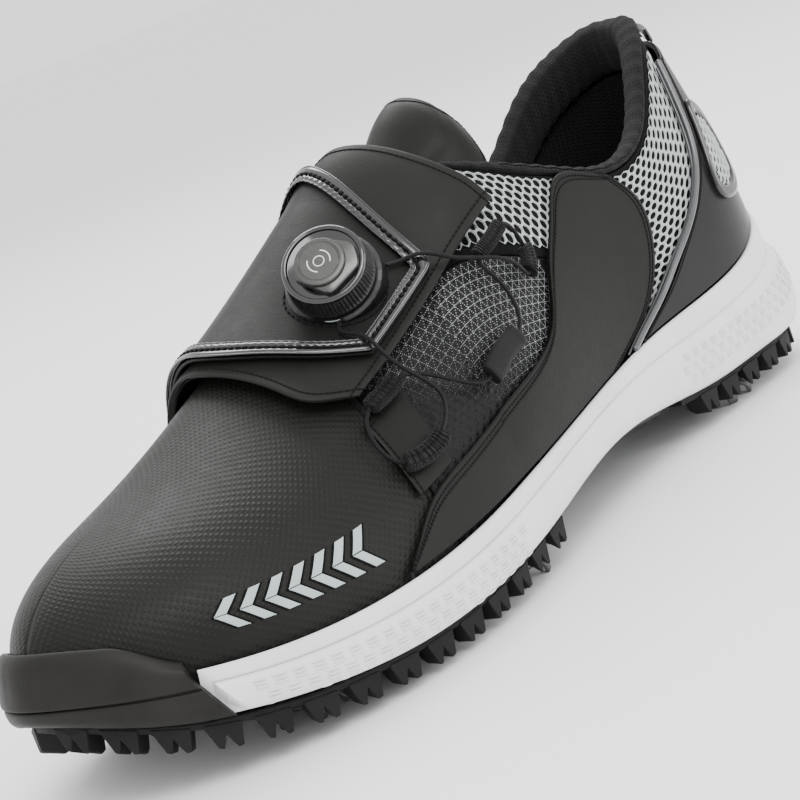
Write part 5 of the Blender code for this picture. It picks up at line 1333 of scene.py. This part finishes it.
def build_midsole():
    shares = np.concatenate([np.linspace(0, BUMPER_START, 260), np.linspace(BUMPER_START + 0.002, 1, 40)])
    side, share = np.array([(1, s) for s in shares] + [(-1, s) for s in shares[-2:0:-1]]).T
    parts = np.concatenate([np.linspace(0, 0.26, 10), [0.275, 0.29, 0.305, 0.32, 0.335],
                            np.linspace(0.36, 1, 30)])
    toe = share > BUMPER_START
    rows = []

    def row(margin, part, drop_by, flare):
        """Ring of points at a margin outside the feather line; drop_by None puts it on the tray's floor."""
        place = share - slant(share, part)
        spread = np.where(toe, np.minimum(margin, 1.9 * MM), margin + heel_flare(share) * flare)
        x, along = ring_point(side, place, spread)
        foot = np.where(toe, feather_along(place), along)
        floor = rim_height(foot) - tray_depth(foot) - 0.35 * MM
        rim = np.where(toe, floor + 1.5 * MM, rim_height(foot))
        scallop = 0.55 * MM * np.abs(np.sin(share * 58)) * (part > 0.97) * smooth((share - 0.5) / 0.05)
        height = floor if drop_by is None else rim - drop_by - (rim - bottom_height(foot)) * part + scallop
        rows.append(np.stack([x, HEEL_Y - along, height], -1))

    row(1.4 * MM, 0, None, 0)
    row(1.4 * MM, 0, 0.5 * MM, 0)
    for t in (0.1, 0.5, 0.9):
        row((1.5 + 1.6 * t) * MM, 0, (0.25 - 0.25 * t) * MM, 0)
    for k, part in enumerate(parts):
        margin, flare = wall_at(part)
        row(margin, part, 0.5 * MM if k == 0 else 0, flare)
    row(-8 * MM, 1, 0, 0)
    around = len(side)
    faces = grid_faces(len(rows), around, wrap=True)
    for start in (0, (len(rows) - 1) * around):
        for k in range(len(shares) - 1):
            corners = (k, k + 1, (around - k - 1) % around, (around - k) % around)
            faces.append(list(dict.fromkeys(start + corner for corner in corners)))
    add_mesh("midsole_foam", rows, [f[::-1] for f in faces], "foam", "shoe", "eva_white", ["midsole"],
             sharp=60)
    build_dashes()


def build_dashes():
    """Raised dashes on the lower wall, in groups of three laid like bricks."""
    dashes = []
    for side in (1, -1):
        for shares in (np.linspace(0.0, 0.30, 200), np.linspace(0.60, 0.862, 200)):
            run = run_along(wall_point(side, shares, 0.7)) / MM
            for tier in range(3):
                for start in np.arange(2.0 + (tier % 2) * 2.4, run[-1] - 2, 4.8):
                    share, before, after = np.interp([start, start - 0.3, start + 0.3], run, shares)
                    foot = feather_along(share)
                    tall = float(rim_height(foot) - bottom_height(foot)) / MM
                    parts = [0.45 + (tier * 3.1 + line * 0.9) / tall for line in range(3)]
                    dashes += [dash(side, share, before, after, part) for part in parts if part <= 0.93]
    points, normals, ahead = (np.array(x) for x in zip(*dashes))
    verts, faces = capsules(points + normals * 0.16 * MM, normals, ahead, 3.3 * MM, 0.30 * MM, 1.2)
    add_mesh("midsole_dashes", verts, faces, "foam", "shoe", "eva_white")


def dash(side, share, before, after, part):
    """Middle, outward normal and direction of one dash."""
    middle = wall_point(side, share, part)
    ahead = unit(wall_point(side, after, part) - wall_point(side, before, part))
    normal = unit(np.cross(wall_point(side, share, part + 0.02) - middle, ahead) * side)
    x, along = outward(side, share)
    return middle, normal if normal @ np.array([x, -along, 0]) >= 0 else -normal, ahead


def build_bumper():
    shares = BUMPER_START + 0.007 + (1 - BUMPER_START - 0.007) * np.linspace(0, 1, 60)
    rings = []
    for side, share in [(1, s) for s in shares] + [(-1, s) for s in shares[-2::-1]]:
        climb = 0.55 * smooth((share - BUMPER_START) / 0.05) + 0.45 * smooth((share - BUMPER_START) / 0.113)
        start = float(rim_down(share * side))
        top = start - 0.02 - (start - 0.70) * climb

        def on_upper(part, lift):
            return skin(top + (start - top) * part, share * side, lift * MM)

        def on_wall(part, margin):
            place = share - slant(share, part)
            x, along = ring_point(side, place, margin * MM)
            foot = feather_along(place)
            rim = rim_height(foot)
            return np.array([x, HEEL_Y - along, rim - (rim - bottom_height(foot)) * part])

        outer = [on_upper(*spot) for spot in ((0, 1.4), (0.06, 2.3), (0.4, 3.6), (0.9, 4.7))]
        outer += [on_wall(*spot) for spot in ((0.16, 5.7), (0.26, 5.5), (0.31, 4.8), (0.36, 5.4), (0.55, 5.5),
                                              (0.75, 5.2), (0.93, 4.2), (1, 3.2))]
        inner = [on_wall(1, 2.3), on_wall(0.1, 2.3), on_upper(0.9, 0.8), on_upper(0, 0.5)]
        rings.append(np.vstack([along_table(outer, np.linspace(0, 1, 56)), inner]))
    add_mesh("toe_bumper_rubber", np.concatenate(rings), tube_faces(len(rings), len(rings[0])), "bumper",
             "shoe", "rubber_black", ["toe_bumper"], sharp=70)


def plate_top(along):
    return bottom_height(along) - 0.35 * MM - 0.6 * MM * smooth((along - 235 * MM) / (25 * MM))


def plate_bottom(along):
    return plate_top(along) - 1.8 * MM


def plate_edge(side, share, margin):
    return ring_point(side, share, margin * MM + 0.6 * heel_flare(share))


def near_spike(x, along, reach):
    """Whether a place is within a reach in mm of a spike."""
    return any(math.hypot(x - sx * MM, along - sa * MM) < reach * MM for sa, sx in SPIKES)


def build_plate(name, shares, first, final):
    """Outsole plate with its lugs and ribs."""
    section = [(1, 0, 1.0), (1, 0.3, 1.25), (1, 1.5, 1.2), (1, 1.8, 0.8)]
    section += [(-1, drop_by, margin) for _, drop_by, margin in section[::-1]]
    rings = []
    for share in shares:
        ring = []
        for side, drop_by, margin in section:
            x, along = plate_edge(side, share, margin)
            top = plate_top(feather_along(share) if share > BUMPER_START else along)
            ring.append((x, HEEL_Y - along, top - drop_by * MM))
        rings.append(ring)
    add_mesh(name + "_plate", rings, tube_faces(len(rings), len(section)), "rubber", "shoe", "rubber_black",
             [name], sharp=35)
    build_lugs(name, first, final)
    build_treads(name, shares)


def build_lugs(name, first, final):
    """Lugs along both edges, each two teeth with a notch between them, kept low beside a spike."""
    tooth = [(-4.6, 0), (-3.2, 0.95), (-1.9, 1.0), (-0.2, 0.35), (1.2, 1.0), (2.3, 0.95), (4.0, 0.0)]
    stations, lugs = np.linspace(first, final, 400), []
    for side in (1, -1):
        run = run_along(np.column_stack(ring_point(side, stations, 0.0))) / MM

        def edge_place(at, margin):
            return plate_edge(side, float(np.interp(at, run, stations)), margin)

        for start in np.arange(6, run[-1] - 4, 11.4):
            verts = []
            for margin, tall in ((1.6, 1.0), (-3.4, 1.0), (-5.2, 0.8)):
                for offset, level in tooth:
                    x, along = edge_place(start + offset, margin)
                    if near_spike(x, along, 10.2):
                        tall = min(tall, 0.15)
                    low = plate_bottom(along)
                    height = max(low - 5.6 * MM * level * tall, 2.0 * MM)
                    verts.append((x, HEEL_Y - along, min(height, low)))
                for offset in (tooth[-1][0], tooth[0][0]):
                    x, along = edge_place(start + offset, margin)
                    verts.append((x, HEEL_Y - along, plate_bottom(along) + 0.6 * MM))
            lugs.append((verts, tube_faces(3, len(tooth) + 2)))
    soften_edges(add_loose(name + "_teeth", lugs, "rubber", "rubber_black", flat=True), 0.35)


def recalculate(piece):
    work = bmesh.new()
    work.from_mesh(piece.data)
    bmesh.ops.recalc_face_normals(work, faces=work.faces)
    work.to_mesh(piece.data)
    work.free()


def add_loose(name, pieces, material, slot, **settings):
    """Several small solids as one mesh on the shoe, with their faces turned outwards."""
    thing = add_mesh(name, *gather(pieces), material, "shoe", slot, **settings)
    recalculate(thing)
    return thing


def soften_edges(piece, width):
    """Rounded edges of a width in mm."""
    bevel = piece.modifiers.new("Bevel", "BEVEL")
    bevel.width = width * MM
    bevel.segments = 2
    bevel.limit_method = "ANGLE"
    bevel.angle_limit = math.radians(40)


def build_treads(name, shares):
    """Low chevron ribs over the middle of the plate."""
    chevron = ((-2.6, -0.4), (0, 1.1), (2.6, -0.4), (2.6, -1.7), (0, -0.3), (-2.6, -1.7))
    ribs = []
    for share in np.arange(shares[0] + 0.03, shares[-1] - 0.04, 0.026):
        (x0, a0), (x1, a1) = ring_point(1, share, -9 * MM), ring_point(-1, share, -9 * MM)
        for t in np.linspace(0.04, 0.96, max(int((x0 - x1) / (6.5 * MM)), 2)):
            x, along = x0 + (x1 - x0) * t, a0 + (a1 - a0) * t
            if not near_spike(x, along, 12.5):
                low = float(plate_bottom(along))
                verts = [(x + dx * grow * MM, HEEL_Y - along - da * grow * MM, low + rise * MM)
                         for rise, grow in ((0.4, 1.25), (-1.5, 0.8)) for dx, da in chevron]
                ribs.append((verts, tube_faces(2, 6)))
    soften_edges(add_loose(name + "_ribs", ribs, "rubber", "rubber_black", flat=True), 0.25)


def upright(name, profile, along, x, material, slot, segments=64, **settings):
    """Piece turned about an upright axis from (radius, height) in mm; along and x in mm place the axis."""
    angles = ring_angles(segments)
    rings = [np.column_stack([x * MM + r * MM * np.cos(angles), HEEL_Y - along * MM + r * MM * np.sin(angles),
                              np.full(segments, h * MM)]) for r, h in profile]
    add_loose(name, [(np.concatenate(rings), grid_faces(len(rings), segments, wrap=True))], material, slot,
              sharp=40, **settings)


def build_spike(number, along, x):
    """Soft spike of a hub and six legs, in a collar of the outsole."""
    top = float(plate_bottom(along * MM)) / MM + 0.6
    collar = [(6.95, top), (6.95, 4.8), (7.3, 4.5), (8.3, 4.6), (8.9, 5.2), (9.5, top - 0.8),
              (10.2, top - 0.5), (10.2, top)]
    upright(f"spike_collar_{number}", collar, along, x, "rubber", "rubber_black")
    hub = [(0.01, 2.5), (2.2, 2.5), (2.4, 2.7), (3.4, 2.7), (3.6, 2.45), (5.4, 2.4), (6.6, 2.9), (7.0, 3.7),
           (6.8, 4.35), (0.01, 4.35)]
    node = [f"spike_{number}"]
    upright(f"spike_{number}_hub", hub, along, x, "spike", "spike_smoke", 48, replaces=node)
    centre = np.array([x * MM, HEEL_Y - along * MM, 0])
    legs = [leg_mesh(centre, np.array([math.cos(angle), math.sin(angle), 0]))
            for angle in ring_angles(6) + math.pi / 6]
    add_loose(f"spike_{number}_legs", legs, "spike", "spike_smoke", replaces=node, sharp=60)


def leg_mesh(centre, out):
    """Curved leg of a spike with a squared, rounded tip, through (reach, height, half width, half depth)."""
    across, up = np.array([-out[1], out[0], 0]), np.array([0, 0, 1])
    route = np.array([(5.0, 3.6, 2.1, 0.75), (6.6, 3.9, 2.0, 0.8), (8.0, 3.6, 1.8, 0.8),
                      (8.9, 2.7, 1.7, 0.75), (9.3, 1.6, 1.6, 0.7), (9.4, 0.5, 1.5, 0.65),
                      (9.4, 0.08, 1.2, 0.45)])
    verts = []
    for i, (reach, height, half, thick) in enumerate(route):
        way = unit(route[min(i + 1, len(route) - 1), :2] - route[max(i - 1, 0), :2])
        normal = out * -way[1] + up * way[0]
        for angle in ring_angles(12):
            c, s = math.cos(angle), math.sin(angle)
            wide, deep = half * math.copysign(abs(c) ** 0.5, c), thick * math.copysign(abs(s) ** 0.5, s)
            place = centre + (out * reach + up * height + across * wide + normal * deep) * MM
            verts.append(np.maximum(place, [-1, -1, 0]))
    return verts, tube_faces(len(route), 12)


def build_shank_ribs():
    """Stiffening ribs along the underside of the shank."""
    shares = np.linspace(0.322, 0.493, 40)
    (x0, a0), (x1, a1) = ring_point(1, shares, -7 * MM), ring_point(-1, shares, -7 * MM)
    for k, t in enumerate(np.linspace(0, 1, 6), 1):
        along = a0 + (a1 - a0) * t
        path = np.stack([x0 + (x1 - x0) * t, HEEL_Y - along, plate_top(along) - 2.5 * MM], -1)
        add_tube(f"midfoot_shank_rib_{k}", path, 1.1, "knob", "shoe", "plastic_black")


def build_sole():
    build_shank_ribs()
    build_midsole()
    build_bumper()
    build_plate("outsole_heel", np.linspace(0, 0.30, 60), 0.0, 0.29)
    build_plate("outsole_forefoot", np.linspace(0.515, 1, 120), 0.525, 0.995)
    for number, (along, x) in enumerate(SPIKES, 1):
        build_spike(number, along, x)


# ---------------------------------------------------------------- pieces shown as the frame has them
# Finish of each of these nodes, and the width in mm of its rounded edges.
PLAIN = {
    "midfoot_shank": ("black", 0.25), "lasting_board": ("board", 0), "heel_counter": ("black", 0),
    "toe_puff": ("black", 0), "dial_base": ("black", 0.25), "dial_spool": ("black", 0.25),
    "dial_pawl_disc": ("black", 0.25), "dial_axle": ("steel", 0),
    **{f"spike_receptacle_{number}": ("black", 0.2) for number in range(1, len(SPIKES) + 1)},
}


def finish_plain_nodes():
    for name, (finish, width) in PLAIN.items():
        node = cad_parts[name]
        node.data.materials.clear()
        node.data.materials.append(MAT[finish])
        if width:
            soften_edges(node, width)


# ---------------------------------------------------------------- studio
def build_studio():
    mesh = bpy.data.meshes.new("studio_floor")
    mesh.from_pydata([(-6, -6, 0), (6, -6, 0), (6, 6, 0), (-6, 6, 0)], [], [(0, 1, 2, 3)])
    floor = bpy.data.objects.new("studio_floor", mesh)
    paper = Shader("studio_paper")
    white = paper.node("MixRGB", {0: paper.noise(3), 1: (0.93, 0.93, 0.93, 1), 2: (0.95, 0.95, 0.95, 1)})
    mesh.materials.append(paper.finish(Base_Color=white, Roughness=0.7))
    bpy.context.scene.collection.objects.link(floor)
    world = bpy.data.worlds.new("studio")
    world.use_nodes = True
    background = world.node_tree.nodes["Background"]
    background.inputs["Color"].default_value = (1, 1, 1, 1)
    background.inputs["Strength"].default_value = 1.6
    bpy.context.scene.world = world
    for name, place, size, power in LAMPS:
        lamp = bpy.data.lights.new(name, "AREA")
        lamp.shape = "RECTANGLE"
        lamp.size, lamp.size_y = size
        lamp.energy = power
        light = bpy.data.objects.new(name, lamp)
        light.location = place
        light.rotation_euler = (Vector((0, 0, 0.05)) - Vector(place)).to_track_quat("-Z", "Y").to_euler()
        bpy.context.scene.collection.objects.link(light)


def build_camera():
    lens = bpy.data.cameras.new("camera")
    lens.lens, lens.sensor_width = 100.42, 36
    camera = bpy.data.objects.new("camera", lens)
    aim = Vector(CAMERA_AIM).to_track_quat("-Z", "Y").to_matrix().to_4x4()
    camera.matrix_world = (Matrix.Translation(CAMERA_PLACE) @ aim
                           @ Matrix.Rotation(math.radians(CAMERA_ROLL), 4, "Z"))
    bpy.context.scene.collection.objects.link(camera)
    bpy.context.scene.camera = camera


def main():
    build_vamp()
    build_quarters()
    build_heel()
    build_collar()
    build_inside()
    build_tongue()
    build_strap()
    build_dial()
    build_lace()
    build_sole()
    finish_plain_nodes()
    build_studio()
    build_camera()


main()
